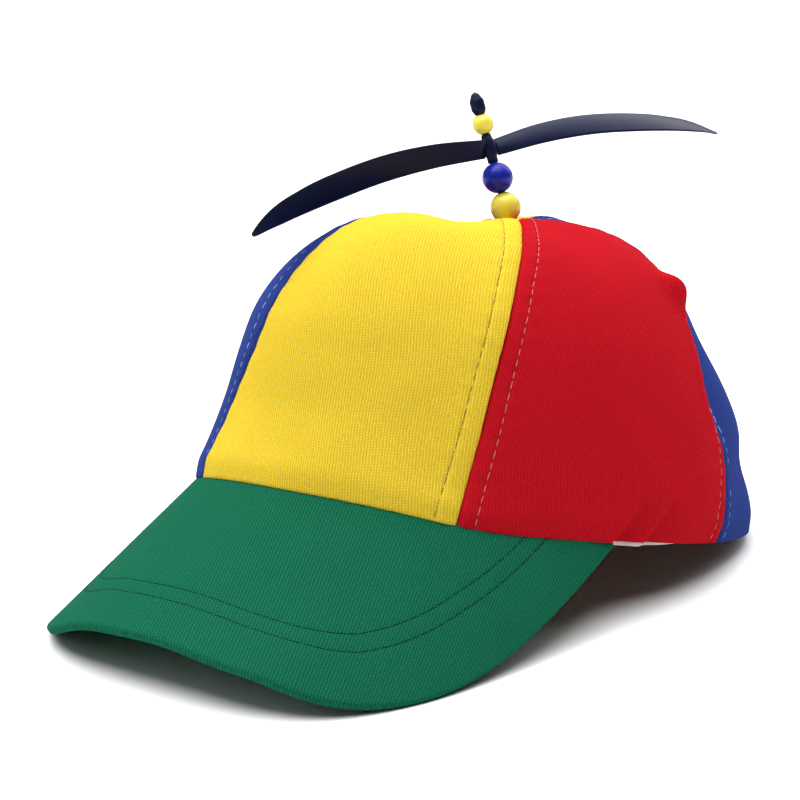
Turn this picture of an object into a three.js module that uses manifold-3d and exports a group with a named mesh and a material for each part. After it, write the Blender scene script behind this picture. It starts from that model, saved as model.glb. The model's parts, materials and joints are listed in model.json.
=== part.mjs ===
// Propeller cap: a six-panel cotton cap with an arched peak, and a propeller that spins on a leaning stem.
// Millimetres. The cap is shaped in its own frame, with the rim level, the peak towards -Y and the
// wearer's left towards +X. The last group tilts it back the way it rests on a table, on the two side
// edges of the peak and the back of the rim, and puts the origin under the middle of the whole object.
import * as THREE from "three";
import { mergeVertices } from "three/addons/utils/BufferGeometryUtils.js";
import Module from "manifold-3d";

const wasm = await Module();
wasm.setup();

const { degToRad, lerp, clamp, smoothstep, euclideanModulo } = THREE.MathUtils;

// Driving dimensions
const GAP = 0.3; // clearance between pieces that touch on the real cap
const CLOTH = 1.4; // crown wall: two layers of twill with a fused backing

// Level sections of the crown from the rim to the stem hole: height over the rim, reach from the
// crown's axis to the front, back and sides, and how far the panels have turned, in degrees.
const SECTIONS = [
  { height: 0.0, front: 96.4, back: 96.4, side: 85.2, turn: 0 },
  { height: 12.8, front: 93.7, back: 94.8, side: 84.6, turn: 0.4 },
  { height: 27.4, front: 89.7, back: 90.5, side: 82.1, turn: 1.7 },
  { height: 43.9, front: 87.3, back: 82.4, side: 76.8, turn: 4.3 },
  { height: 59.4, front: 84.2, back: 72.6, side: 69.5, turn: 8.0 },
  { height: 73.1, front: 75.3, back: 63.6, side: 59.2, turn: 12.0 },
  { height: 83.2, front: 61.0, back: 53.0, side: 46.1, turn: 15.6 },
  { height: 89.1, front: 38.8, back: 41.1, side: 30.5, turn: 18.8 },
  { height: 91.1, front: 19.4, back: 20.5, side: 15.2, turn: 21.4 },
  { height: 89.73, front: 8.0, back: 8.2, side: 7.0, turn: 22.6 },
  { height: 89.05, front: 2.4, back: 2.4, side: 2.4, turn: 23.0 },
];
const LAST = SECTIONS.length - 1;
const LIFT_END = SECTIONS[7].height; // the rim's rise and fall has died out here
const HOLE = new THREE.Vector2(3.5, 0); // the stem hole's place, off the rim's centre

// Soft dents and swellings of the cloth: where they are (degrees round the rim from the front towards
// the wearer's left, and section row), half width across and along the wall, and depth, positive outwards.
const FOLDS = [
  { name: "flare over the peak's right corner", around: -48, row: 0, across: 43, along: 14, depth: 3.0 },
  { name: "flare at the foot of the front left seam", around: 38, row: 0, across: 22, along: 9, depth: 1.2 },
  { name: "fullness of the right front", around: -29.7, row: 5.2, across: 42, along: 52, depth: 3.6 },
  { name: "brow of the front", around: -14.3, row: 6.0, across: 18.6, along: 18.8, depth: 3.7 },
  { name: "fall of the right top", around: -79.2, row: 6.0, across: 28, along: 20, depth: -3.6 },
  { name: "dip beside the stem", around: -81.1, row: 8.07, across: 29, along: 10.5, depth: -5.4 },
  { name: "sag of the right back", around: -123.7, row: 7.1, across: 21.6, along: 19, depth: -1.2 },
  { name: "knuckle on the left seam", around: 92.4, row: 5.04, across: 6.1, along: 5.9, depth: 4.4 },
  { name: "slack behind the knuckle", around: 130.3, row: 5.3, across: 19, along: 13.8, depth: -4.2 },
  { name: "dent below the knuckle", around: 124, row: 3.8, across: 24.4, along: 19.7, depth: -3.8 },
  { name: "hollow of the left back", around: 120.7, row: 1.6, across: 24, along: 7.6, depth: -1.8 },
  { name: "fall of the left back", around: 146.9, row: 7.3, across: 22.7, along: 12, depth: -2.5 },
];

// Seams between the gores: their places round the rim in degrees, and how far each sways at every section
const SEAMS = {
  frontRight: { around: -30.9, sway: [-3.5, -1.7, -0.4, 2.3, 1.4, -1.4, -4, -6, -5, -3, 0] },
  frontLeft: { around: 35.5, sway: [-0.8, 0.1, -0.1, 0.1, 0.2, -0.7, -1, -1.6, -1, -0.5, 0] },
  left: { around: 96.9, sway: [0, 2.7, 2.3, -4.6, -3.9, -1.2, 3, 6, 4.6, 1.2, 0] },
  backLeft: { around: 155, sway: [0, 0, 0, 0, 0, 0, 0, 0, 0, 0, 0] },
  backRight: { around: 213, sway: [0, 0, 0, 0, 0, 0, 0, 0, 0, 0, 0] },
  right: { around: 271, sway: [0, 0, 0, 0, 0, 0, 0, 0, 0, 0, 0] },
};

// Cloth gores of the crown, each between two seams
const YELLOW = "#e8c51f";
const RED = "#c41424";
const BLUE = "#2440a0";
const GREEN = "#0f6b47";
const NAVY = "#12182e";
const WHITE = "#eeeae4";
const PANELS = [
  { name: "front_panel", from: SEAMS.frontRight, to: SEAMS.frontLeft, colour: YELLOW },
  { name: "left_front_panel", from: SEAMS.frontLeft, to: SEAMS.left, colour: RED },
  { name: "left_back_panel", from: SEAMS.left, to: SEAMS.backLeft, colour: BLUE },
  { name: "back_panel", from: SEAMS.backLeft, to: SEAMS.backRight, colour: YELLOW },
  { name: "right_back_panel", from: SEAMS.backRight, to: SEAMS.right, colour: RED },
  { name: "right_front_panel", from: SEAMS.right, to: SEAMS.frontRight, colour: BLUE },
];
const PANEL_STEPS = { around: 10, up: 20 };

// Peak: a sloping cylinder sheet, cut to a rounded outline between its two corners on the rim
const PEAK = {
  length: 57.8, // beyond the rim, in plan
  corner: degToRad(66.6),
  end: 0.985, // share of the corner angle where the solid ends bluntly
  slope: Math.tan(degToRad(32.7)),
  archRadius: 89.9,
  thickness: 2.8,
  // exponents of the outline on the two sides: smaller is squarer
  left: { sideFullness: 0.665, frontFullness: 0.647 },
  right: { sideFullness: 0.67, frontFullness: 0.59 },
  spacing: 1.5, // exponent that evens out the steps along the front
  steps: { around: 40, out: 7 },
};
// Waves along the peak's front edge: place across in millimetres, half width and rise
const EDGE_WAVES = [
  { name: "lift inside the right corner", across: -30, width: 15, rise: 1.6 },
  { name: "lift left of the middle", across: 38, width: 12, rise: 1.2 },
];
// Rim behind the peak: start of its fall at the corner, and its sag along the side
const RIM_FALL = -5.8;
const RIM_SAG = -4.8;

// Sweatband inside the rim: it shows below the rim at the sides and is tucked in behind
const SWEATBAND = {
  thickness: 1.0,
  topRow: 2,
  steps: { around: 60, up: 4 },
  showing: 1.3,
  tuck: 1.0,
  tuckFrom: degToRad(72),
  tuckTo: degToRad(88),
};

// How far the cloth gives where the cap rests
const REST = { rim: 1.0, peak: 1.2, rimFrom: degToRad(100), rimTo: degToRad(260), steepest: 0.5 };

// Stack on the stem, from the crown up
const STEM = {
  radius: 1.2,
  lean: degToRad(21.1),
  towards: degToRad(-72.4),
  footRadius: 3.4,
  footHeight: 1.2,
};
const BORE = STEM.radius + GAP;
const BEAD_RADIUS = 5.05;
const SMALL_BEAD_RADIUS = 3.45;
const BEAD_STEPS = 10;
const ROUND_SIDES = 16;
const BEAD_SEAT = 5.4; // along the stem, from the crown's outer face to the lower bead's centre
const FOOT_DROP = 3.2; // along the stem, from the crown's outer face to the foot's upper face
const HUB = { height: 9.5, radius: 2.5, neckRadius: 1.95, tipRadius: 1.8, neckShare: 0.7, drumShare: 0.45 };
const FINIAL = { height: 7.6, footRadius: 1.9, radius: 2.65, topRadius: 1.45, sides: 6 };
const FINIAL_RISE = { foot: 0.2, shoulder: 0.58, top: 0.88 }; // shares of its height
const STEM_INTO_FINIAL = 4.0;

// Propeller blades: sections along the span as shares of the radius, with chord, pitch in degrees, and
// the middle line's rise along the stem and sweep along the disc
const BLADE = {
  radius: 93,
  root: 2.3,
  thickness: 1.5,
  edgeShare: 0.35, // of the thickness, left at the two edges
  tipShare: 0.5, // of the thickness, left at the tip
  steps: { span: 16, chord: 4 },
  turn: degToRad(66.2), // at rest, about the stem
};
const BLADE_SECTIONS = [
  { share: 0.0, chord: 6.4, pitch: 59, rise: 0.0, sweep: 1.0 },
  { share: 0.2, chord: 8.4, pitch: 55, rise: 1.3, sweep: 0.1 },
  { share: 0.4, chord: 10.0, pitch: 50, rise: 0.9, sweep: 0.1 },
  { share: 0.6, chord: 11.0, pitch: 46, rise: -1.3, sweep: 1.0 },
  { share: 0.8, chord: 10.8, pitch: 41, rise: -4.7, sweep: 2.8 },
  { share: 0.93, chord: 8.2, pitch: 38, rise: -8.0, sweep: 4.4 },
  { share: 1.0, chord: 0.8, pitch: 37, rise: -10.8, sweep: 5.4 },
];

// Smooth value of one column of a table, with position counted in rows
function spline(rows, column, position) {
  const last = rows.length - 1;
  const row = clamp(Math.floor(position), 0, last - 1);
  const t = position - row;
  const value = (k) => rows[clamp(k, 0, last)][column];
  const before = value(row - 1);
  const start = value(row);
  const end = value(row + 1);
  const after = value(row + 2);
  const startSlope = (end - before) / 2;
  const endSlope = (after - start) / 2;
  const square = (2 * startSlope + endSlope) * -1 + 3 * (end - start);
  const cube = startSlope + endSlope - 2 * (end - start);
  return start + startSlope * t + square * t * t + cube * t * t * t;
}

// Position in rows of a share along the span of a blade
function rowOfShare(rows, share) {
  const row = clamp(rows.findIndex((r) => r.share >= share), 1, rows.length - 1);
  return row - 1 + (share - rows[row - 1].share) / (rows[row].share - rows[row - 1].share);
}

// Point of the smooth crown, before folds and the rim's rise and fall
function shellPoint(around, row) {
  const angle = around + degToRad(spline(SECTIONS, "turn", row));
  const reach = spline(SECTIONS, Math.cos(angle) > 0 ? "front" : "back", row);
  const shift = (row / LAST) ** 2;
  return new THREE.Vector3(
    HOLE.x * shift + spline(SECTIONS, "side", row) * Math.sin(angle),
    HOLE.y * shift - reach * Math.cos(angle),
    spline(SECTIONS, "height", row),
  );
}

// Unit directions round the crown, up the wall and outwards at a place on it
function shellAxes(around, row) {
  const step = 0.02;
  const low = clamp(row - step, 0, LAST - 2 * step);
  const across = shellPoint(around + step, row).sub(shellPoint(around - step, row)).normalize();
  const up = shellPoint(around, low + 2 * step).sub(shellPoint(around, low)).normalize();
  const out = new THREE.Vector3().crossVectors(across, up).normalize();
  return { across, up, out };
}

const foldPlaces = FOLDS.map((fold) => ({
  ...fold,
  centre: shellPoint(degToRad(fold.around), fold.row),
  axes: shellAxes(degToRad(fold.around), fold.row),
}));

// How far the folds move the cloth outwards at a point of the smooth crown
function foldDepth(point) {
  let depth = 0;
  for (const fold of foldPlaces) {
    const offset = point.clone().sub(fold.centre);
    const across = offset.dot(fold.axes.across) / fold.across;
    const along = offset.dot(fold.axes.up) / fold.along;
    const through = offset.dot(fold.axes.out) / (fold.across + fold.along);
    depth += fold.depth * Math.exp(-(across ** 2) - along ** 2 - through ** 2);
  }
  return depth;
}

// Height of the peak's upper face over the rim's plane
function archDrop(x) {
  return PEAK.archRadius - Math.sqrt(PEAK.archRadius ** 2 - x ** 2);
}
const RIM = SECTIONS[0];
const PEAK_CORNER = new THREE.Vector2(
  RIM.side * Math.sin(PEAK.corner),
  -RIM.front * Math.cos(PEAK.corner),
);
function peakHeight(x, y) {
  return archDrop(PEAK_CORNER.x) - archDrop(x) + PEAK.slope * (y - PEAK_CORNER.y);
}

// Angle away from the middle of the front, on either side
function fromFront(around) {
  return Math.abs(euclideanModulo(around + Math.PI, 2 * Math.PI) - Math.PI);
}

// How far the rim lies above its plane: it stands on the peak in front, and falls and sags behind it
function rimLift(around) {
  const angle = fromFront(around);
  if (angle < PEAK.corner) {
    const edge = foldedPoint(around, 0, 0);
    return peakHeight(edge.x, edge.y) + GAP - edge.z;
  }
  const t = (angle - PEAK.corner) / (Math.PI - PEAK.corner);
  return GAP * (1 - t) + RIM_FALL * t * (1 - t) ** 2 + RIM_SAG * 16 * (t * (1 - t)) ** 2;
}

// Point of the folded crown at a depth below its outer face
function foldedPoint(around, row, depth) {
  const point = shellPoint(around, row);
  return point.addScaledVector(shellAxes(around, row).out, foldDepth(point) - depth);
}

function crownPoint(around, row, depth) {
  const point = foldedPoint(around, row, depth);
  const share = spline(SECTIONS, "height", row) / LIFT_END;
  point.z += rimLift(around) * clamp(1 - share, 0, 1);
  return point;
}

// Angle along the peak's outline for a place across it from -1 to 1, with even steps along the front
function outlineTurn(across) {
  const share = Math.abs(across);
  const fromMiddle = share ** PEAK.spacing;
  return (Math.sign(across) * (Math.PI / 2) * fromMiddle) / (fromMiddle + 1 - share);
}

// How far the waves lift the front edge at a place across it
function edgeLift(x) {
  let lift = 0;
  for (const wave of EDGE_WAVES) lift += wave.rise * Math.exp(-(((x - wave.across) / wave.width) ** 2));
  return lift;
}

// Point of the peak: across from the right corner at -1 to the left at 1, out from the rim to the edge
function peakPoint(across, out, depth) {
  const inner = crownPoint(across * PEAK.corner, 0, CLOTH);
  const turn = outlineTurn(across);
  const { sideFullness, frontFullness } = across < 0 ? PEAK.right : PEAK.left;
  const outer = new THREE.Vector2(
    PEAK_CORNER.x * Math.sign(turn) * Math.abs(Math.sin(turn)) ** sideFullness,
    PEAK_CORNER.y - (RIM.front + PEAK.length + PEAK_CORNER.y) * Math.cos(turn) ** frontFullness,
  );
  const x = lerp(inner.x, outer.x, out);
  const y = lerp(inner.y, outer.y, out);
  const face = new THREE.Vector3(x / Math.sqrt(PEAK.archRadius ** 2 - x ** 2), -PEAK.slope, 1);
  const upright = new THREE.Vector3(0, 0, face.length());
  const inwards = upright.lerp(face.normalize(), out);
  const z = peakHeight(x, y) + edgeLift(x) * out ** 3;
  return new THREE.Vector3(x, y, z).addScaledVector(inwards, -depth);
}

// The table's plane in the cap's frame, z = slope * y + offset, touching the rim's back and the peak's edge
function restingPlane() {
  const samples = 60;
  const rim = [];
  const edge = [];
  for (let i = 0; i <= samples; i++) {
    const angle = lerp(REST.rimFrom, REST.rimTo, i / samples);
    rim.push(crownPoint(angle, 0, 0), crownPoint(angle, 0, CLOTH));
    edge.push(peakPoint(lerp(-PEAK.end, PEAK.end, i / samples), 1, PEAK.thickness));
  }
  const lowest = (points, slope) => Math.min(...points.map((p) => p.z - slope * p.y));
  let flat = 0;
  let steep = REST.steepest;
  for (let i = 0; i < 40; i++) {
    const slope = (flat + steep) / 2;
    const rimIsHigher = lowest(rim, slope) + REST.rim > lowest(edge, slope) + REST.peak;
    if (rimIsHigher) flat = slope;
    else steep = slope;
  }
  return { slope: flat, offset: lowest(rim, flat) + REST.rim };
}
const table = restingPlane();

// Cloth that would sink into the table lies flat on it instead
function settle(point) {
  point.z = Math.max(point.z, table.slope * point.y + table.offset);
  return point;
}

// Closed shell from a box whose width, height and depth become the two ways over a sheet and its thickness
function sheet(stepsAcross, stepsUp, place) {
  const geometry = new THREE.BoxGeometry(1, 1, 1, stepsAcross, stepsUp, 1);
  const position = geometry.getAttribute("position");
  for (let i = 0; i < position.count; i++) {
    const point = place(position.getX(i) + 0.5, position.getY(i) + 0.5, 0.5 - position.getZ(i));
    position.setXYZ(i, point.x, point.y, point.z);
  }
  geometry.computeVertexNormals();
  return geometry;
}

// Angle of a seam at a section row, in radians
function seamAngle(seam, row) {
  const rows = seam.sway.map((sway) => ({ sway }));
  return degToRad(seam.around + spline(rows, "sway", row));
}

function panelGeometry({ from, to }) {
  return sheet(PANEL_STEPS.around, PANEL_STEPS.up, (u, v, w) => {
    const row = v * LAST;
    const trim = GAP / 2 / spline(SECTIONS, "side", row);
    const start = seamAngle(from, row);
    const wrapped = euclideanModulo(seamAngle(to, row) - start, 2 * Math.PI);
    const around = lerp(start + trim, start + wrapped - trim, u);
    const point = crownPoint(around, row, w * CLOTH);
    const onPeak = v === 0 && fromFront(around) < PEAK.corner;
    if (onPeak) point.z = Math.max(point.z, peakHeight(point.x, point.y) + GAP);
    return settle(point);
  });
}

function peakGeometry() {
  return sheet(PEAK.steps.around, PEAK.steps.out, (u, v, w) =>
    settle(peakPoint(lerp(-PEAK.end, PEAK.end, u), 1 - v, w * PEAK.thickness)),
  );
}

// How far the sweatband's lower edge hangs below the rim
function bandDrop(around) {
  const behind = smoothstep(fromFront(around), SWEATBAND.tuckFrom, SWEATBAND.tuckTo);
  return lerp(SWEATBAND.showing, -SWEATBAND.tuck, behind);
}

// Ring turned from a closed strip of the band's section, then laid against the inside of the crown
function sweatbandGeometry() {
  const { around: turns, up } = SWEATBAND.steps;
  const rise = Array.from({ length: up + 1 }, (_, i) => i / up);
  const outerFace = rise.map((share) => new THREE.Vector2(2, share));
  const innerFace = rise.map((share) => new THREE.Vector2(1, share)).reverse();
  const geometry = new THREE.LatheGeometry([...outerFace, ...innerFace, outerFace[0]], turns);
  const position = geometry.getAttribute("position");
  for (let i = 0; i < position.count; i++) {
    const around = Math.atan2(position.getX(i), position.getZ(i));
    const inside = 2 - Math.hypot(position.getX(i), position.getZ(i));
    const share = position.getY(i);
    const depth = CLOTH + GAP + inside * SWEATBAND.thickness;
    const point = crownPoint(around, share * SWEATBAND.topRow, depth);
    if (share === 0) point.z -= bandDrop(around);
    settle(point);
    position.setXYZ(i, point.x, point.y, point.z);
  }
  geometry.computeVertexNormals();
  return geometry;
}

// Solid of revolution about +Z from [radius, height] pairs
function turned(profile, sides) {
  const points = profile.map(([radius, height]) => new THREE.Vector2(radius, height));
  return new THREE.LatheGeometry(points, sides).rotateX(Math.PI / 2);
}

// Half the height of a drilled bead, whose bore cuts its two poles flat
function beadHalf(radius) {
  return Math.sqrt(radius ** 2 - BORE ** 2);
}

function beadGeometry(radius) {
  const pole = Math.acos(beadHalf(radius) / radius);
  const profile = [];
  for (let i = 0; i <= BEAD_STEPS; i++) {
    const angle = lerp(Math.PI - pole, pole, i / BEAD_STEPS);
    profile.push([radius * Math.sin(angle), radius * Math.cos(angle)]);
  }
  profile.push(profile[0]);
  return turned(profile, ROUND_SIDES);
}

// Heights along the stem, from the crown's outer face
const lowerBeadAt = BEAD_SEAT;
const middleBeadAt = lowerBeadAt + 2 * beadHalf(BEAD_RADIUS) + GAP;
const hubAt = middleBeadAt + beadHalf(BEAD_RADIUS) + GAP;
const propellerAt = hubAt + HUB.height / 2;
const upperBeadAt = hubAt + HUB.height + GAP + beadHalf(SMALL_BEAD_RADIUS);
const finialAt = upperBeadAt + beadHalf(SMALL_BEAD_RADIUS) + GAP;
const stemTop = finialAt + STEM_INTO_FINIAL;

function stemGeometry() {
  const foot = -FOOT_DROP - STEM.footHeight;
  return turned(
    [
      [0, foot],
      [STEM.footRadius, foot],
      [STEM.footRadius, -FOOT_DROP],
      [STEM.radius, -FOOT_DROP],
      [STEM.radius, stemTop],
      [0, stemTop],
    ],
    12,
  );
}

function finialGeometry() {
  const hole = STEM_INTO_FINIAL + GAP;
  return turned(
    [
      [0, hole],
      [BORE, hole],
      [BORE, 0],
      [FINIAL.footRadius, 0],
      [FINIAL.radius, FINIAL.height * FINIAL_RISE.foot],
      [FINIAL.radius, FINIAL.height * FINIAL_RISE.shoulder],
      [FINIAL.topRadius, FINIAL.height * FINIAL_RISE.top],
      [0, FINIAL.height],
    ],
    FINIAL.sides,
  );
}

// Blade along +X with its raised edge towards +Y
function bladeGeometry() {
  return sheet(BLADE.steps.span, BLADE.steps.chord, (u, v, w) => {
    const row = rowOfShare(BLADE_SECTIONS, u);
    const chord = spline(BLADE_SECTIONS, "chord", row) * (v - 0.5);
    const pitch = degToRad(spline(BLADE_SECTIONS, "pitch", row));
    const fullness = 1 - (2 * v - 1) ** 2;
    const thickness = BLADE.thickness * lerp(BLADE.edgeShare, 1, fullness) * lerp(1, BLADE.tipShare, u);
    const face = (0.5 - w) * thickness;
    return new THREE.Vector3(
      lerp(BLADE.root, BLADE.radius, u),
      spline(BLADE_SECTIONS, "sweep", row) + chord * Math.cos(pitch) - face * Math.sin(pitch),
      spline(BLADE_SECTIONS, "rise", row) + chord * Math.sin(pitch) + face * Math.cos(pitch),
    );
  });
}

// Closed geometry as a solid that can be joined and cut
function toSolid(geometry) {
  const bare = new THREE.BufferGeometry().setIndex(geometry.index);
  bare.setAttribute("position", geometry.getAttribute("position"));
  const merged = mergeVertices(bare, 1e-3);
  const vertProperties = merged.getAttribute("position").array;
  const triVerts = new Uint32Array(merged.index.array);
  return new wasm.Manifold(new wasm.Mesh({ numProp: 3, vertProperties, triVerts }));
}

function toGeometry(solid) {
  const mesh = solid.getMesh();
  const geometry = new THREE.BufferGeometry();
  geometry.setAttribute("position", new THREE.BufferAttribute(new Float32Array(mesh.vertProperties), 3));
  geometry.setIndex(new THREE.BufferAttribute(new Uint32Array(mesh.triVerts), 1));
  geometry.computeVertexNormals();
  return geometry;
}

// One moulding: a bored hub with two pitched blades, half a turn apart, about the hub's own middle
function propellerGeometry() {
  const half = HUB.height / 2;
  const hub = turned(
    [
      [0, -half],
      [HUB.neckRadius, -half],
      [HUB.neckRadius, -half * HUB.neckShare],
      [HUB.radius, -half * HUB.drumShare],
      [HUB.radius, half * HUB.drumShare],
      [HUB.tipRadius, half],
      [0, half],
    ],
    ROUND_SIDES,
  );
  const bore = turned(
    [
      [0, -HUB.height],
      [BORE, -HUB.height],
      [BORE, HUB.height],
      [0, HUB.height],
    ],
    ROUND_SIDES,
  );
  let moulding = toSolid(hub);
  for (const side of [0, Math.PI]) {
    moulding = moulding.add(toSolid(bladeGeometry().rotateZ(side)));
  }
  return toGeometry(moulding.subtract(toSolid(bore)));
}

function piece(name, geometry, color, roughness) {
  const mesh = new THREE.Mesh(geometry, new THREE.MeshStandardMaterial({ color, roughness, metalness: 0 }));
  mesh.name = name;
  return mesh;
}

// Scene graph: the cloth and the stem's stack in the cap's frame, tilted to rest on the table
const cap = new THREE.Group();
for (const row of PANELS) {
  cap.add(piece(row.name, panelGeometry(row), row.colour, 0.9));
}
cap.add(piece("peak", peakGeometry(), GREEN, 0.9));
cap.add(piece("sweatband", sweatbandGeometry(), WHITE, 0.9));

const mast = new THREE.Group();
mast.position.copy(crownPoint(0, LAST, 0)).setX(HOLE.x).setY(HOLE.y);
mast.quaternion.setFromUnitVectors(
  new THREE.Vector3(0, 0, 1),
  new THREE.Vector3(
    Math.sin(STEM.lean) * Math.sin(STEM.towards),
    -Math.sin(STEM.lean) * Math.cos(STEM.towards),
    Math.cos(STEM.lean),
  ),
);
const largeBead = beadGeometry(BEAD_RADIUS);
const smallBead = beadGeometry(SMALL_BEAD_RADIUS);
const STACK = [
  { name: "stem", geometry: stemGeometry(), at: 0, colour: NAVY, roughness: 0.5 },
  { name: "lower_bead", geometry: largeBead, at: lowerBeadAt, colour: YELLOW, roughness: 0.3 },
  { name: "middle_bead", geometry: largeBead, at: middleBeadAt, colour: BLUE, roughness: 0.3 },
  { name: "propeller", geometry: propellerGeometry(), at: propellerAt, colour: NAVY, roughness: 0.4 },
  { name: "upper_bead", geometry: smallBead, at: upperBeadAt, colour: YELLOW, roughness: 0.3 },
  { name: "finial", geometry: finialGeometry(), at: finialAt, colour: NAVY, roughness: 0.4 },
];
for (const { name, geometry, at, colour, roughness } of STACK) {
  const mesh = piece(name, geometry, colour, roughness);
  mesh.position.z = at;
  if (name === "propeller") mesh.rotation.z = BLADE.turn;
  mast.add(mesh);
}
cap.add(mast);
cap.rotation.x = -Math.atan(table.slope);

const propellerCap = new THREE.Group();
propellerCap.add(cap);
const box = new THREE.Box3().setFromObject(propellerCap, true);
cap.position.set(-(box.min.x + box.max.x) / 2, -(box.min.y + box.max.y) / 2, -box.min.z);

export default propellerCap;
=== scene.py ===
"""Propeller cap: the looks of its cloth crown, arched peak, sweatband, stitching, beads and propeller.

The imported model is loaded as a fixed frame. Each sub-assembly below shapes its own pieces in the cap's
frame (millimetres, rim level, peak towards -Y, wearer's left towards +X) and lays them where the frame
says that the cap rests.
"""

from __future__ import annotations

import json
import logging
import math
from dataclasses import dataclass
from enum import Enum
from typing import Any, Callable, Sequence

import bmesh
import bpy
import numpy as np
from mathutils import Matrix, Vector

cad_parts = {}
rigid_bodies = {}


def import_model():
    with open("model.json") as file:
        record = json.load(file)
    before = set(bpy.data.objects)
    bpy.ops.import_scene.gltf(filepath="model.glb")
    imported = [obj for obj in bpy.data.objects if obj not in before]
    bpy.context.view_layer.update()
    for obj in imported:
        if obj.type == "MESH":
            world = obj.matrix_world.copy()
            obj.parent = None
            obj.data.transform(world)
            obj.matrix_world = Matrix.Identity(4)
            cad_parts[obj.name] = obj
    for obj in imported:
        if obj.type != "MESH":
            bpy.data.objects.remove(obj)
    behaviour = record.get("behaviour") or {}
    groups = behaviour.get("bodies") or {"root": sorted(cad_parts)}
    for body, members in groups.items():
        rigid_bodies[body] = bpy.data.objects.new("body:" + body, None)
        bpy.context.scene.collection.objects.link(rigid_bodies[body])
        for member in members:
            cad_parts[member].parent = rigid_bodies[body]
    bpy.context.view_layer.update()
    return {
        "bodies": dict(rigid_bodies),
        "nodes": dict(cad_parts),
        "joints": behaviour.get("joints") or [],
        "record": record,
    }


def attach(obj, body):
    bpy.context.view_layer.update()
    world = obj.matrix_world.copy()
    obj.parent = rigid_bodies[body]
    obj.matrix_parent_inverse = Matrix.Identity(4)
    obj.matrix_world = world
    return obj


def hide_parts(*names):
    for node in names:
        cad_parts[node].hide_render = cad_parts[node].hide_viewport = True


LOG = logging.getLogger("propeller_cap")
MM = 0.001

Array = np.ndarray
Colour = tuple[float, float, float]


# Cloth, paint and plastic


class Dye(Enum):
    """Cloth colours of the cap."""

    YELLOW = "yellow"
    RED = "red"
    BLUE = "blue"
    GREEN = "green"
    WHITE = "white"


class Nodes:
    """Small helper that adds and links the nodes of one material."""

    def __init__(self, name: str) -> None:
        """Start a material with a Principled shader.

        Args:
            name: The material's name.
        """
        self.material = bpy.data.materials.new(name)
        self.material.use_nodes = True
        self.tree = self.material.node_tree
        self.shader = self.tree.nodes["Principled BSDF"]

    def add(self, kind: str, **settings: Any) -> bpy.types.Node:
        """Add a node.

        Args:
            kind: The node's type name.
            settings: Its attributes.

        Returns:
            The new node.
        """
        node = self.tree.nodes.new(kind)
        for key, value in settings.items():
            setattr(node, key, value)
        return node

    def link(self, source: Any, target: Any) -> None:
        """Join an output socket to an input socket."""
        self.tree.links.new(source, target)

    def feed(self, socket: Any, value: Any) -> None:
        """Give an input socket a number or another socket's output.

        Args:
            socket: The input socket.
            value: A number, a colour or an output socket.
        """
        if isinstance(value, bpy.types.NodeSocket):
            self.link(value, socket)
        else:
            socket.default_value = value

    def math(self, operation: str, first: Any, second: Any = 0.0, third: Any = 0.0) -> Any:
        """Add a maths node.

        Args:
            operation: The operation's name.
            first: First value or socket.
            second: Second value or socket.
            third: Third value or socket.

        Returns:
            The output socket.
        """
        node = self.add("ShaderNodeMath", operation=operation)
        for socket, value in zip(node.inputs, (first, second, third)):
            self.feed(socket, value)
        return node.outputs[0]

    def noise(self, vector: Any, scale: float, detail: float = 2.0) -> Any:
        """Add a noise texture and return its grey output.

        Args:
            vector: Coordinates.
            scale: Waves for each unit of the coordinates.
            detail: Number of octaves.

        Returns:
            The output socket, from 0 to 1.
        """
        node = self.add("ShaderNodeTexNoise", noise_dimensions="3D")
        self.link(vector, node.inputs["Vector"])
        node.inputs["Scale"].default_value = scale
        node.inputs["Detail"].default_value = detail
        return node.outputs["Fac"]

    def spread(self, value: Any, low: float, high: float) -> Any:
        """Map 0 to 1 on to a new range.

        Args:
            value: The socket to map.
            low: Result at 0.
            high: Result at 1.

        Returns:
            The output socket.
        """
        return self.math("MULTIPLY_ADD", value, high - low, low)

    def shade(self, colour: Colour, factor: Any) -> Any:
        """Multiply a colour by a grey factor.

        Args:
            colour: Linear colour.
            factor: Output socket.

        Returns:
            The colour output socket.
        """
        node = self.add("ShaderNodeVectorMath", operation="SCALE")
        node.inputs[0].default_value = colour
        self.link(factor, node.inputs["Scale"])
        return node.outputs["Vector"]

    def bump(self, height: Any, strength: float, distance: float, normal: Any = None) -> Any:
        """Add a bump node.

        Args:
            height: Height socket.
            strength: Share of the effect.
            distance: Depth of the relief in metres.
            normal: Normal to start from.

        Returns:
            The normal output socket.
        """
        node = self.add("ShaderNodeBump")
        node.inputs["Strength"].default_value = strength
        node.inputs["Distance"].default_value = distance
        self.link(height, node.inputs["Height"])
        if normal is not None:
            self.link(normal, node.inputs["Normal"])
        return node.outputs["Normal"]


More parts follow.
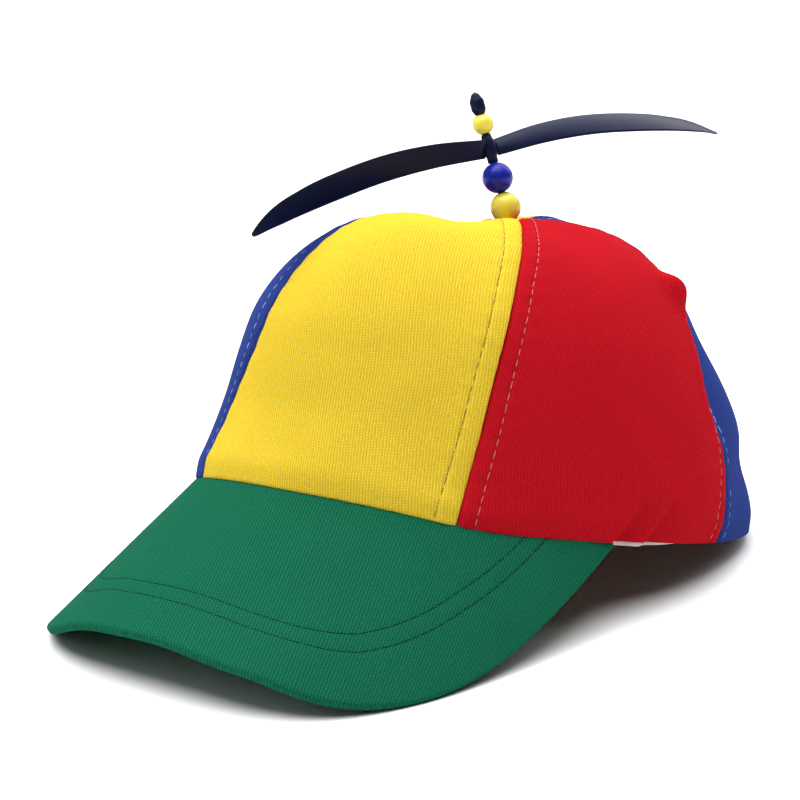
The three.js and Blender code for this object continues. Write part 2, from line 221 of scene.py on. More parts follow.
@dataclass(frozen=True)
class TwillCloth:
    """Cotton twill: slanting ribs of yarn, a soft uneven dye and a dull nap.

    Attributes:
        name: Material name.
        colour: Linear colour of the yarn on top of a rib.
        lean: Slant of the ribs in degrees, positive to the right going up.
        pitch: Distance from rib to rib in millimetres.
        groove: Painted shade in the grooves between ribs: how much darker they are, from 0 to 1.
        beading: Painted shade in the dips along a rib: how much darker they are, from 0 to 1.
        relief: Depth of the weave in millimetres.
        wander: How far a rib wanders to its side in millimetres.
        slip: How far the dips of a rib slip along it, in pitches.
        wander_scale, speck_scale, cloud_scale: Waves of the unevenness for each millimetre.
        fibre_scale: Waves of the fibres across and along a rib for each millimetre.
        fibres, specks, clouds: Darkest and lightest share of the colour in each unevenness.
    """

    name: str
    colour: Colour
    lean: float
    pitch: float = 0.88
    groove: float = 0.31
    beading: float = 0.62
    relief: float = 0.12
    roughness: float = 0.92
    specular: float = 0.02
    wander: float = 0.5
    slip: float = 0.6
    wander_scale: float = 0.35
    speck_scale: float = 1.2
    cloud_scale: float = 0.045
    fibre_scale: tuple[float, float, float] = (2.3, 0.55, 1.0)
    fibres: tuple[float, float] = (0.82, 1.18)
    specks: tuple[float, float] = (0.86, 1.14)
    clouds: tuple[float, float] = (0.94, 1.06)

    def make(self) -> bpy.types.Material:
        """Build the material on the piece's own cloth map, in millimetres.

        Returns:
            The material.
        """
        n = Nodes(self.name)
        cloth = n.add("ShaderNodeUVMap", uv_map=CLOTH_MAP).outputs["UV"]
        wobble = n.noise(cloth, self.wander_scale, 3.0)
        turned = n.add("ShaderNodeMapping", vector_type="POINT")
        turned.inputs["Rotation"].default_value[2] = math.radians(self.lean)
        n.link(cloth, turned.inputs["Vector"])
        apart = n.add("ShaderNodeSeparateXYZ")
        n.link(turned.outputs["Vector"], apart.inputs[0])
        across = n.math("MULTIPLY_ADD", wobble, self.wander, apart.outputs["X"])
        wave = n.math("SINE", n.math("MULTIPLY", across, 2 * math.pi / self.pitch))
        rib = n.spread(wave, 0.5, 1.0)
        loose = n.add("ShaderNodeTexWhiteNoise", noise_dimensions="1D")
        n.link(n.math("FLOOR", n.math("DIVIDE", across, self.pitch)), loose.inputs["W"])
        climb = n.math("MULTIPLY_ADD", apart.outputs["Y"], 1 / self.pitch, loose.outputs["Value"])
        climb = n.math("MULTIPLY_ADD", wobble, self.slip, climb)
        dips = n.math("SINE", n.math("MULTIPLY", climb, 2 * math.pi))
        yarn = n.spread(dips, 1 - self.beading / 2, 1.0)
        weave = n.math("MULTIPLY", rib, yarn)
        drawn = n.add("ShaderNodeMapping", vector_type="POINT")
        drawn.inputs["Scale"].default_value = self.fibre_scale
        n.link(turned.outputs["Vector"], drawn.inputs["Vector"])
        fibre = n.noise(drawn.outputs["Vector"], 1.0, 3.0)
        speck = n.noise(cloth, self.speck_scale, 2.0)
        cloud = n.noise(cloth, self.cloud_scale, 2.0)
        # Painted shade: the grooves between ribs and the dips along each rib are darkened in the colour.
        tone = n.spread(weave, 1 - self.groove, 1.0)
        for grey, limits in ((cloud, self.clouds), (fibre, self.fibres), (speck, self.specks)):
            tone = n.math("MULTIPLY", tone, n.spread(grey, *limits))
        n.link(n.shade(self.colour, tone), n.shader.inputs["Base Color"])
        height = n.math("MULTIPLY_ADD", fibre, 0.5, weave)
        n.link(n.bump(height, 1.0, self.relief * MM), n.shader.inputs["Normal"])
        n.shader.inputs["Roughness"].default_value = self.roughness
        n.shader.inputs["Specular IOR Level"].default_value = self.specular
        return n.material


@dataclass(frozen=True)
class SpunThread:
    """Twisted sewing thread."""

    name: str
    colour: Colour

    def make(self) -> bpy.types.Material:
        """Build the material on object coordinates.

        Returns:
            The material.
        """
        n = Nodes(self.name)
        place = n.add("ShaderNodeTexCoord")
        grain = n.noise(place.outputs["Object"], 2600.0, 2.0)
        patch = n.noise(place.outputs["Object"], 140.0, 1.0)
        tone = n.math("MULTIPLY", n.spread(grain, 0.72, 1.2), n.spread(patch, 0.85, 1.1))
        n.link(n.shade(self.colour, tone), n.shader.inputs["Base Color"])
        n.link(n.bump(grain, 0.6, 0.1 * MM), n.shader.inputs["Normal"])
        n.shader.inputs["Roughness"].default_value = 0.8
        n.shader.inputs["Specular IOR Level"].default_value = 0.1
        return n.material


@dataclass(frozen=True)
class GlossPaint:
    """Gloss paint on a turned bead, with the faint unevenness of a dipped coat."""

    name: str
    colour: Colour
    roughness: float = 0.3
    gloss: float = 0.5

    def make(self) -> bpy.types.Material:
        """Build the material on object coordinates.

        Returns:
            The material.
        """
        n = Nodes(self.name)
        place = n.add("ShaderNodeTexCoord")
        cloud = n.noise(place.outputs["Object"], 260.0, 2.0)
        peel = n.noise(place.outputs["Object"], 900.0, 2.0)
        n.link(n.shade(self.colour, n.spread(cloud, 0.9, 1.08)), n.shader.inputs["Base Color"])
        n.link(n.spread(peel, self.roughness * 0.8, self.roughness * 1.25), n.shader.inputs["Roughness"])
        n.link(n.bump(peel, 0.25, 0.06 * MM), n.shader.inputs["Normal"])
        n.shader.inputs["Specular IOR Level"].default_value = self.gloss
        return n.material


@dataclass(frozen=True)
class MouldedPlastic:
    """Satin moulded plastic with faint flow marks."""

    name: str
    colour: Colour
    roughness: float = 0.34
    specular: float = 0.09

    def make(self) -> bpy.types.Material:
        """Build the material on object coordinates.

        Returns:
            The material.
        """
        n = Nodes(self.name)
        place = n.add("ShaderNodeTexCoord")
        flow = n.noise(place.outputs["Object"], 90.0, 3.0)
        grain = n.noise(place.outputs["Object"], 1500.0, 2.0)
        n.link(n.shade(self.colour, n.spread(flow, 0.85, 1.15)), n.shader.inputs["Base Color"])
        n.link(n.spread(flow, self.roughness * 0.85, self.roughness * 1.2), n.shader.inputs["Roughness"])
        n.link(n.bump(grain, 0.15, 0.05 * MM), n.shader.inputs["Normal"])
        n.shader.inputs["Specular IOR Level"].default_value = self.specular
        return n.material


CLOTH_MAP = "cloth_mm"
TWILLS = {
    Dye.YELLOW: TwillCloth("yellow_twill", (0.90, 0.635, 0.046), -18.5, pitch=0.90, groove=0.34),
    Dye.RED: TwillCloth("red_twill", (0.533, 0.0078, 0.0158), -14.5, pitch=0.95),
    Dye.BLUE: TwillCloth("blue_twill", (0.028, 0.056, 0.265), -15.0, pitch=0.93),
    Dye.GREEN: TwillCloth("green_twill", (0.0098, 0.153, 0.081), -21.0, pitch=1.08, groove=0.5),
    Dye.WHITE: TwillCloth("white_tape", (0.6, 0.57, 0.54), 0.0, pitch=0.6, groove=0.12, relief=0.1),
}
THREADS = {
    Dye.YELLOW: SpunThread("thread_on_yellow", (0.22, 0.165, 0.055)),
    Dye.RED: SpunThread("thread_on_red", (0.55, 0.21, 0.21)),
    Dye.BLUE: SpunThread("thread_on_blue", (0.38, 0.48, 0.82)),
    Dye.GREEN: SpunThread("thread_on_green", (0.002, 0.02, 0.0115)),
}
# Dimmed yellow marks for the gaps between yellow stitches: painted shade of the needle holes.
NEEDLE_HOLE_SHADE = SpunThread("needle_hole_shade", (0.14, 0.09, 0.015))
STITCH_END = SpunThread("stitch_end", (0.014, 0.13, 0.075))
BEAD_PAINTS = {
    Dye.YELLOW: GlossPaint("yellow_paint", (0.86, 0.75, 0.075)),
    Dye.BLUE: GlossPaint("blue_paint", (0.010, 0.018, 0.35), gloss=0.24),
}
NAVY = MouldedPlastic("navy_plastic", (0.0065, 0.010, 0.038))


# Where the cap lies


@dataclass(frozen=True)
class Stack:
    """The leaning stem and what is threaded on it (millimetres, degrees).

    Attributes:
        foot_height_on_crown: Height of the stem hole's edge on the crown, in the cap's frame.
        hole_shift: How far the stem hole lies towards the wearer's left of the rim's middle.
        lean: Lean of the stem from upright.
        towards: Direction of the lean, round from the front towards the wearer's left.
    """

    foot_height_on_crown: float
    hole_shift: float
    lean: float = 21.1
    towards: float = -72.4
    gap: float = 0.3
    stem_radius: float = 1.2
    foot_radius: float = 3.4
    foot_height: float = 1.2
    foot_drop: float = 3.2
    bead_radius: float = 5.05
    small_bead_radius: float = 3.45
    bead_seat: float = 5.4
    hub_height: float = 9.5
    finial_height: float = 7.6
    stem_into_finial: float = 4.0

    @property
    def bore(self) -> float:
        """Radius of the holes that the stem goes through."""
        return self.stem_radius + self.gap

    def bead_half(self, radius: float) -> float:
        """Half the height of a drilled bead."""
        return math.sqrt(radius**2 - self.bore**2)

    @property
    def lower_bead_at(self) -> float:
        """Height of the lower bead's middle along the stem."""
        return self.bead_seat

    @property
    def middle_bead_at(self) -> float:
        """Height of the middle bead's middle along the stem."""
        return self.lower_bead_at + 2 * self.bead_half(self.bead_radius) + self.gap

    @property
    def hub_at(self) -> float:
        """Height of the propeller hub's middle along the stem."""
        return self.middle_bead_at + self.bead_half(self.bead_radius) + self.gap + self.hub_height / 2

    @property
    def upper_bead_at(self) -> float:
        """Height of the small bead's middle along the stem."""
        return self.hub_at + self.hub_height / 2 + self.gap + self.bead_half(self.small_bead_radius)

    @property
    def finial_at(self) -> float:
        """Height of the finial's foot along the stem."""
        return self.upper_bead_at + self.bead_half(self.small_bead_radius) + self.gap

    def axis(self) -> Vector:
        """Direction of the stem in the cap's frame."""
        lean, towards = math.radians(self.lean), math.radians(self.towards)
        side = math.sin(lean)
        return Vector((side * math.sin(towards), -side * math.cos(towards), math.cos(lean)))

    def matrix(self) -> Matrix:
        """Turn and place of the stem in the cap's frame, in millimetres."""
        turn = Vector((0, 0, 1)).rotation_difference(self.axis()).to_matrix().to_4x4()
        return Matrix.Translation((self.hole_shift, 0, self.foot_height_on_crown)) @ turn


@dataclass(frozen=True)
class CapPlace:
    """How the cap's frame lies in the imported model: a tilt about X and a shift."""

    matrix: Matrix

    @classmethod
    def from_frame(cls, joint: dict[str, Any], stack: Stack) -> "CapPlace":
        """Read the place from the propeller's joint, which is on the stem in both frames.

        Args:
            joint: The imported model's joint.
            stack: The stem's own place on the cap.

        Returns:
            The cap's place.
        """
        here, there = stack.axis(), Vector(joint["axis"])
        tilt = math.atan2(there.z, there.y) - math.atan2(here.z, here.y)
        turn = Matrix.Rotation(tilt, 4, "X")
        hub = stack.matrix() @ Vector((0, 0, stack.hub_at))
        shift = Vector(joint["pos_m"]) / MM - turn @ hub
        return cls(Matrix.Translation(shift) @ turn)

    def lay(self, points: Array, on_table: bool = True) -> Array:
        """Move points of the cap's frame into the model.

        Args:
            points: Rows of millimetres in the cap's frame.
            on_table: Whether cloth that would sink into the table lies flat on it.

        Returns:
            Rows of metres in the model's frame.
        """
        matrix = np.array(self.matrix)
        laid = points @ matrix[:3, :3].T + matrix[:3, 3]
        if on_table:
            laid[:, 2] = np.maximum(laid[:, 2], 0.0)
        return laid * MM


# Form of the crown and the peak


@dataclass(frozen=True)
class Section:
    """A level section of the crown: height, reaches from the axis, and how far the panels have turned."""

    height: float
    front: float
    back: float
    side: float
    turn: float


@dataclass(frozen=True)
class Fold:
    """A soft dent or swelling: its place, half widths and depth, positive outwards."""

    name: str
    around: float
    row: float
    across: float
    along: float
    depth: float


@dataclass(frozen=True)
class Crease:
    """A narrow fold that deepens from one place on the crown to another.

    Attributes:
        start: Where it begins, as degrees round the rim and section row.
        end: Where it is deepest.
        widths: How far it reaches towards the wearer's right and left.
        depth: Its depth there, positive outwards.
    """

    name: str
    start: tuple[float, float]
    end: tuple[float, float]
    widths: tuple[float, float]
    depth: float


SECTIONS = (
    Section(0.0, 96.4, 96.4, 85.2, 0.0),
    Section(12.8, 93.7, 94.8, 84.6, 0.4),
    Section(27.4, 89.7, 90.5, 82.1, 1.7),
    Section(43.9, 87.3, 82.4, 76.8, 4.3),
    Section(59.4, 84.2, 72.6, 69.5, 8.0),
    Section(73.1, 75.3, 63.6, 59.2, 12.0),
    Section(83.2, 61.0, 53.0, 46.1, 15.6),
    Section(89.1, 38.8, 41.1, 30.5, 18.8),
    Section(91.1, 19.4, 20.5, 15.2, 21.4),
    Section(89.73, 8.0, 8.2, 7.0, 22.6),
    Section(89.05, 2.4, 2.4, 2.4, 23.0),
)
FOLDS = (
    Fold("flare over the peak's right corner", -48, 0, 43, 14, 3.0),
    Fold("flare at the foot of the front left seam", 38, 0, 22, 9, 1.2),
    Fold("fullness of the right front", -29.7, 5.2, 42, 52, 3.6),
    Fold("brow of the front", -14.3, 6.0, 18.6, 18.8, 3.7),
    Fold("fall of the right top", -79.2, 6.0, 28, 20, -3.6),
    Fold("dip beside the stem", -81.1, 8.07, 29, 10.5, -5.4),
    Fold("sag of the right back", -123.7, 7.1, 21.6, 19, -1.2),
    Fold("knuckle on the left seam", 92.4, 5.04, 6.1, 5.9, 4.4),
    Fold("slack behind the knuckle", 130.3, 5.3, 19, 13.8, -4.2),
    Fold("dent below the knuckle", 124, 3.8, 24.4, 19.7, -3.8),
    Fold("hollow of the left back", 120.7, 1.6, 24, 7.6, -1.8),
    Fold("fall of the left back", 146.9, 7.3, 22.7, 12, -2.5),
)
CREASES = (
    Crease("pull at the peak's left corner", (72.9, 0.95), (67.6, 0.05), (1.3, 5.5), -2.6),
    Crease("ridge before the pull", (71.0, 0.95), (65.4, 0.05), (4.5, 1.5), 0.9),
    Crease("second pull behind it", (80.2, 0.95), (75.0, 0.1), (1.3, 5.5), -2.3),
    Crease("ridge before the second pull", (78.2, 0.95), (72.8, 0.1), (3.5, 1.5), 0.8),
    Crease("notch over the back rim", (103.6, 1.45), (122.4, 1.9), (1.7, 1.7), -1.5),
    Crease("flare of the back rim", (112.0, 1.1), (118.0, 0.0), (14.0, 14.0), 1.2),
    Crease("swell behind the stem", (112.0, 8.1), (142.0, 8.2), (7.0, 7.0), 1.2),
)


def along_rows(values: Sequence[float], row: Array) -> Array:
    """Smooth values between the rows of a table's column.

    Args:
        values: The column.
        row: Positions counted in rows.

    Returns:
        The values there.
    """
    column = np.array(values, dtype=float)
    last = len(column) - 1
    base = np.clip(np.floor(row), 0, last - 1).astype(int)
    t = row - base
    before, start, end, after = (column[np.clip(base + k, 0, last)] for k in (-1, 0, 1, 2))
    start_slope, end_slope = (end - before) / 2, (after - start) / 2
    square = 3 * (end - start) - 2 * start_slope - end_slope
    cube = start_slope + end_slope - 2 * (end - start)
    return start + t * (start_slope + t * (square + t * cube))


def unit(vectors: Array) -> Array:
    """Scale each row to length one."""
    return vectors / np.linalg.norm(vectors, axis=-1, keepdims=True)


@dataclass(frozen=True)
class CrownForm:
    """The crown's outer face as a function of the angle round the rim and the section row.

    Attributes:
        cloth: Thickness of the crown's wall.
        hole_shift: How far the stem hole lies towards the wearer's left of the rim's middle.
        gap: Clearance over the peak.
        rim_fall: Start of the rim's fall behind the peak's corner.
        rim_sag: Sag of the rim along the side.
        lift_end: Section row where the rim's rise and fall has died out.
    """

    cloth: float = 1.4
    hole_shift: float = 3.5
    gap: float = 0.3
    rim_fall: float = -5.8
    rim_sag: float = -4.8
    lift_end: int = 7
    peak_length: float = 57.8
    peak_corner: float = math.radians(66.6)
    peak_slope: float = math.tan(math.radians(32.7))
    arch_radius: float = 89.9

    @property
    def last(self) -> int:
        """Row of the stem hole's edge."""
        return len(SECTIONS) - 1

    def column(self, name: str, row: Array) -> Array:
        """Smooth value of one column of the section table at positions counted in rows."""
        return along_rows([getattr(section, name) for section in SECTIONS], row)

    def shell(self, around: Array, row: Array) -> Array:
        """Points of the smooth crown, before folds and the rim's rise and fall."""
        angle = around + np.radians(self.column("turn", row))
        reach = np.where(np.cos(angle) > 0, self.column("front", row), self.column("back", row))
        shift = self.hole_shift * (row / self.last) ** 2
        x = shift + self.column("side", row) * np.sin(angle)
        return np.stack([x, -reach * np.cos(angle), self.column("height", row)], -1)

    def axes(self, around: Array, row: Array) -> tuple[Array, Array, Array]:
        """Unit directions round the crown, up the wall and outwards."""
        step = 0.02
        low = np.clip(row - step, 0, self.last - 2 * step)
        across = unit(self.shell(around + step, row) - self.shell(around - step, row))
        up = unit(self.shell(around, low + 2 * step) - self.shell(around, low))
        return across, up, unit(np.cross(across, up))

    def fold_depth(self, points: Array) -> Array:
        """How far the folds move the cloth outwards at points of the smooth crown."""
        depth = np.zeros(points.shape[:-1])
        for fold in FOLDS:
            around, row = np.array(math.radians(fold.around)), np.array(float(fold.row))
            offset = points - self.shell(around, row)
            across, up, out = self.axes(around, row)
            reach = (offset @ across / fold.across) ** 2 + (offset @ up / fold.along) ** 2
            reach += (offset @ out / (fold.across + fold.along)) ** 2
            depth += fold.depth * np.exp(-reach)
        return depth

    def crease_depth(self, points: Array) -> Array:
        """How far the narrow creases move the cloth outwards at points of the smooth crown."""
        depth = np.zeros(points.shape[:-1])
        for crease in CREASES:
            places = np.array([crease.start, crease.end])
            around, row = np.radians(places[:, 0]), places[:, 1]
            start, end = self.shell(around, row)
            line = end - start
            share = np.clip((points - start) @ line / (line @ line), 0, 1)
            offset = points - start - share[..., None] * line
            side = offset @ self.axes(around, row)[0][1]
            width = np.where(side < 0, *crease.widths)
            apart = np.linalg.norm(offset, axis=-1) / width
            depth += crease.depth * np.exp(-(apart**2)) * np.sqrt(share)
        return depth

    def folded(self, around: Array, row: Array, depth: Array) -> Array:
        """Points of the folded crown at a depth below its outer face."""
        points = self.shell(around, row)
        return points + self.axes(around, row)[2] * (self.fold_depth(points) - depth)[..., None]

    def hole_height(self) -> float:
        """Height of the stem hole's edge at the front."""
        return float(self.point(np.array(0.0), np.array(float(self.last)), np.array(0.0))[2])

    def arch_drop(self, x: Array) -> Array:
        """How far the peak's arch has fallen at a distance from its crest."""
        return self.arch_radius - np.sqrt(self.arch_radius**2 - x**2)

    @property
    def corner(self) -> tuple[float, float]:
        """The peak's left corner on the rim, in plan."""
        rim = SECTIONS[0]
        return rim.side * math.sin(self.peak_corner), -rim.front * math.cos(self.peak_corner)

    def peak_height(self, x: Array, y: Array) -> Array:
        """Height of the peak's upper face over the rim's plane."""
        corner_x, corner_y = self.corner
        return self.arch_drop(corner_x) - self.arch_drop(x) + self.peak_slope * (y - corner_y)

    def from_front(self, around: Array) -> Array:
        """Angle away from the middle of the front, on either side."""
        return np.abs((around + np.pi) % (2 * np.pi) - np.pi)

    def rim_lift(self, around: Array) -> Array:
        """How far the rim lies above its plane: on the peak in front, and falling and sagging behind it."""
        angle = self.from_front(around)
        edge = self.folded(around, np.zeros_like(around), np.zeros_like(around))
        reach = np.clip(edge[..., 0], -self.arch_radius, self.arch_radius)
        on_peak = self.peak_height(reach, edge[..., 1]) + self.gap - edge[..., 2]
        t = (angle - self.peak_corner) / (math.pi - self.peak_corner)
        behind = self.gap * (1 - t) + self.rim_fall * t * (1 - t) ** 2
        behind += self.rim_sag * 16 * (t * (1 - t)) ** 2
        return np.where(angle < self.peak_corner, on_peak, behind)

    def point(self, around: Array, row: Array, depth: Array) -> Array:
        """Points of the whole crown at a depth below its outer face."""
        points = self.folded(around, row, depth)
        share = 1 - self.column("height", row) / SECTIONS[self.lift_end].height
        points[..., 2] += self.rim_lift(around) * np.clip(share, 0, 1)
        return points


@dataclass(frozen=True)
class Wave:
    """A lift along the peak's front edge: its place across, half width and rise."""

    name: str
    across: float
    width: float
    rise: float


WAVES = (
    Wave("lift inside the right corner", -30, 15, 1.6),
    Wave("lift left of the middle", 38, 12, 1.2),
)


@dataclass(frozen=True)
class PeakForm:
    """The peak as a function of the place across it and the share of the way out from the rim.

    Attributes:
        thickness: Thickness of the board with its cloth.
        end: Share of the corner angle where the peak ends.
        right: Exponents of the outline's side and front on the wearer's right: smaller is squarer.
        left: The same on the left.
        spacing: Exponent that evens out the steps along the front.
        proud: How far the cloth's roll stands out past the board.
    """

    crown: CrownForm
    thickness: float = 2.8
    end: float = 0.9998
    right: tuple[float, float] = (0.67, 0.59)
    left: tuple[float, float] = (0.665, 0.647)
    spacing: float = 1.5
    proud: float = 0.35

    def outline(self, across: Array) -> tuple[Array, Array]:
        """Plan of the outer edge.

        Args:
            across: Places from the right corner at -1 to the left at 1.

        Returns:
            The x and y of the edge.
        """
        corner_x, corner_y = self.crown.corner
        share = np.abs(across)
        from_middle = share**self.spacing
        turn = np.sign(across) * (math.pi / 2) * from_middle / (from_middle + 1 - share)
        reach = SECTIONS[0].front + self.crown.peak_length + corner_y + self.proud
        side, front = (np.where(across < 0, *pair) for pair in zip(self.right, self.left))
        x = (corner_x + self.proud) * np.sign(turn) * np.abs(np.sin(turn)) ** side
        return x, corner_y - reach * np.cos(turn) ** front

    def lift(self, x: Array) -> Array:
        """How far the waves lift the front edge."""
        return sum(wave.rise * np.exp(-(((x - wave.across) / wave.width) ** 2)) for wave in WAVES)

    def normal(self, x: Array) -> Array:
        """Upward normal of the upper face, not scaled."""
        lean = x / np.sqrt(self.crown.arch_radius**2 - x**2)
        return np.stack([lean, np.full_like(x, -self.crown.peak_slope), np.ones_like(x)], -1)

    def point(self, across: Array, out: Array, depth: Array) -> Array:
        """Points of the peak at a depth below its upper face."""
        around = across * self.crown.peak_corner
        inner = self.crown.point(around, np.zeros_like(across), np.array(self.crown.cloth))
        edge_x, edge_y = self.outline(across)
        x = inner[..., 0] + (edge_x - inner[..., 0]) * out
        y = inner[..., 1] + (edge_y - inner[..., 1]) * out
        face = self.normal(x)
        length = np.linalg.norm(face, axis=-1, keepdims=True)
        upright = np.concatenate([np.zeros_like(face[..., :2]), length], -1)
        inwards = upright + (face / length - upright) * out[..., None]
        height = self.crown.peak_height(x, y) + self.lift(x) * out**3
        return np.stack([x, y, height], -1) - inwards * depth[..., None]

    def flat(self, points: Array) -> Array:
        """Flat cloth coordinates of points of the peak, in millimetres."""
        radius = self.crown.arch_radius
        x = radius * np.arcsin(np.clip(points[..., 0] / radius, -1, 1))
        return np.stack([x, points[..., 1] * math.hypot(1, self.crown.peak_slope)], -1)


# Meshes


def make_object(
    name: str,
    mesh: bpy.types.Mesh,
    materials: Sequence[bpy.types.Material],
) -> bpy.types.Object:
    """Put a mesh into the scene with smooth faces.

    Args:
        name: The piece's name.
        mesh: Its mesh, in metres in the model's frame.
        materials: Its materials in slot order.

    Returns:
        The object.
    """
    for material in materials:
        mesh.materials.append(material)
    mesh.shade_smooth()
    piece = bpy.data.objects.new(name, mesh)
    bpy.context.scene.collection.objects.link(piece)
    return piece


def dress(piece: bpy.types.Object, body: str, nodes: Sequence[str] = ()) -> None:
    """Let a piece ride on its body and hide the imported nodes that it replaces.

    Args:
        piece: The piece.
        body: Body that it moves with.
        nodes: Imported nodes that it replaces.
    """
    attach(piece, body)
    if nodes:
        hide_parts(*nodes)
    LOG.info("%s: %d faces on %s", piece.name, len(piece.data.polygons), body)


Placing = Callable[[Array, Array, Array], tuple[Array, Array]]


def two_faced_grid(columns: int, rows: int) -> tuple[bmesh.types.BMesh, Array]:
    """Two grids, one under the other, joined round their edges into a closed shell.

    Args:
        columns: Grid squares across.
        rows: Grid squares up.

    Returns:
        The shell, and rows with each vertex's place across, its place up and its face, 0 on top and 1 below.
    """
    bm = bmesh.new()
    size = {"x_segments": columns, "y_segments": rows, "size": 0.5}
    bmesh.ops.create_grid(bm, **size)
    upper = len(bm.faces)
    bmesh.ops.create_grid(bm, matrix=Matrix.Translation((0, 0, -1)), **size)
    bmesh.ops.reverse_faces(bm, faces=bm.faces[:][upper:])
    bmesh.ops.bridge_loops(bm, edges=[edge for edge in bm.edges if edge.is_boundary])
    bm.verts.index_update()
    flat = np.array([vert.co[:] for vert in bm.verts])
    return bm, np.stack([flat[:, 0] + 0.5, flat[:, 1] + 0.5, -flat[:, 2]])


def cloth_mesh(name: str, bm: bmesh.types.BMesh, points: Array, cloth: Array) -> bpy.types.Mesh:
    """Move a shell's vertices to their places and give it its cloth map.

    Args:
        name: The mesh's name.
        bm: The shell, which is used up.
        points: Each vertex in metres in the model's frame.
        cloth: Each vertex's cloth coordinates in millimetres.

    Returns:
        The mesh.
    """
    for vert, point in zip(bm.verts, points):
        vert.co = point
    layer = bm.loops.layers.uv.new(CLOTH_MAP)
    for face in bm.faces:
        for loop in face.loops:
            loop[layer].uv = cloth[loop.vert.index]
    bmesh.ops.recalc_face_normals(bm, faces=bm.faces)
    mesh = bpy.data.meshes.new(name)
    bm.to_mesh(mesh)
    bm.free()
    return mesh


def cloth_shell(name: str, columns: int, rows: int, place: Placing) -> bpy.types.Mesh:
    """Closed wall of cloth with an outer and an inner face.

    Args:
        name: The mesh's name.
        columns: Grid squares across.
        rows: Grid squares up.
        place: Gives model points in metres and cloth coordinates in millimetres for places across, places
            up and the face, which is 0 outside and 1 inside.

    Returns:
        The mesh, with its cloth map.
    """
    bm, (across, up, face) = two_faced_grid(columns, rows)
    return cloth_mesh(name, bm, *place(across, up, face))


def turned_mesh(profile: Sequence[tuple[float, float]], steps: int, closed: bool) -> bmesh.types.BMesh:
    """Solid of revolution about Z, in millimetres.

    Args:
        profile: Pairs of radius and height.
        steps: Steps round the axis.
        closed: Whether the profile closes on itself, or else starts and ends on the axis.

    Returns:
        The bmesh.
    """
    bm = bmesh.new()
    verts = [bm.verts.new((radius, 0, height)) for radius, height in profile]
    pairs = list(zip(verts, verts[1:]))
    if closed:
        pairs.append((verts[-1], verts[0]))
    edges = [bm.edges.new(pair) for pair in pairs]
    bmesh.ops.spin(
        bm,
        geom=verts + edges,
        axis=(0, 0, 1),
        cent=(0, 0, 0),
        angle=2 * math.pi,
        steps=steps,
        use_merge=True,
    )
    bmesh.ops.remove_doubles(bm, verts=bm.verts, dist=1e-4)
    bmesh.ops.recalc_face_normals(bm, faces=bm.faces)
    return bm


def stretch(positions: Array, knots: Sequence[tuple[float, float]]) -> Array:
    """Piecewise straight map through (from, to) pairs."""
    here, there = zip(*knots)
    return np.interp(positions, here, there)


def round_over(height: Array, radius: Array | float) -> Array:
    """How far an edge's face has drawn in at a height from the edge, for a half-round edge."""
    inside = np.clip(radius - height, 0, radius)
    return radius - np.sqrt(radius**2 - inside**2)


@dataclass(frozen=True)
class StitchRow:
    """A line of stitches: points on the cloth in metres, and the outward direction at each."""

    points: Array
    out: Array


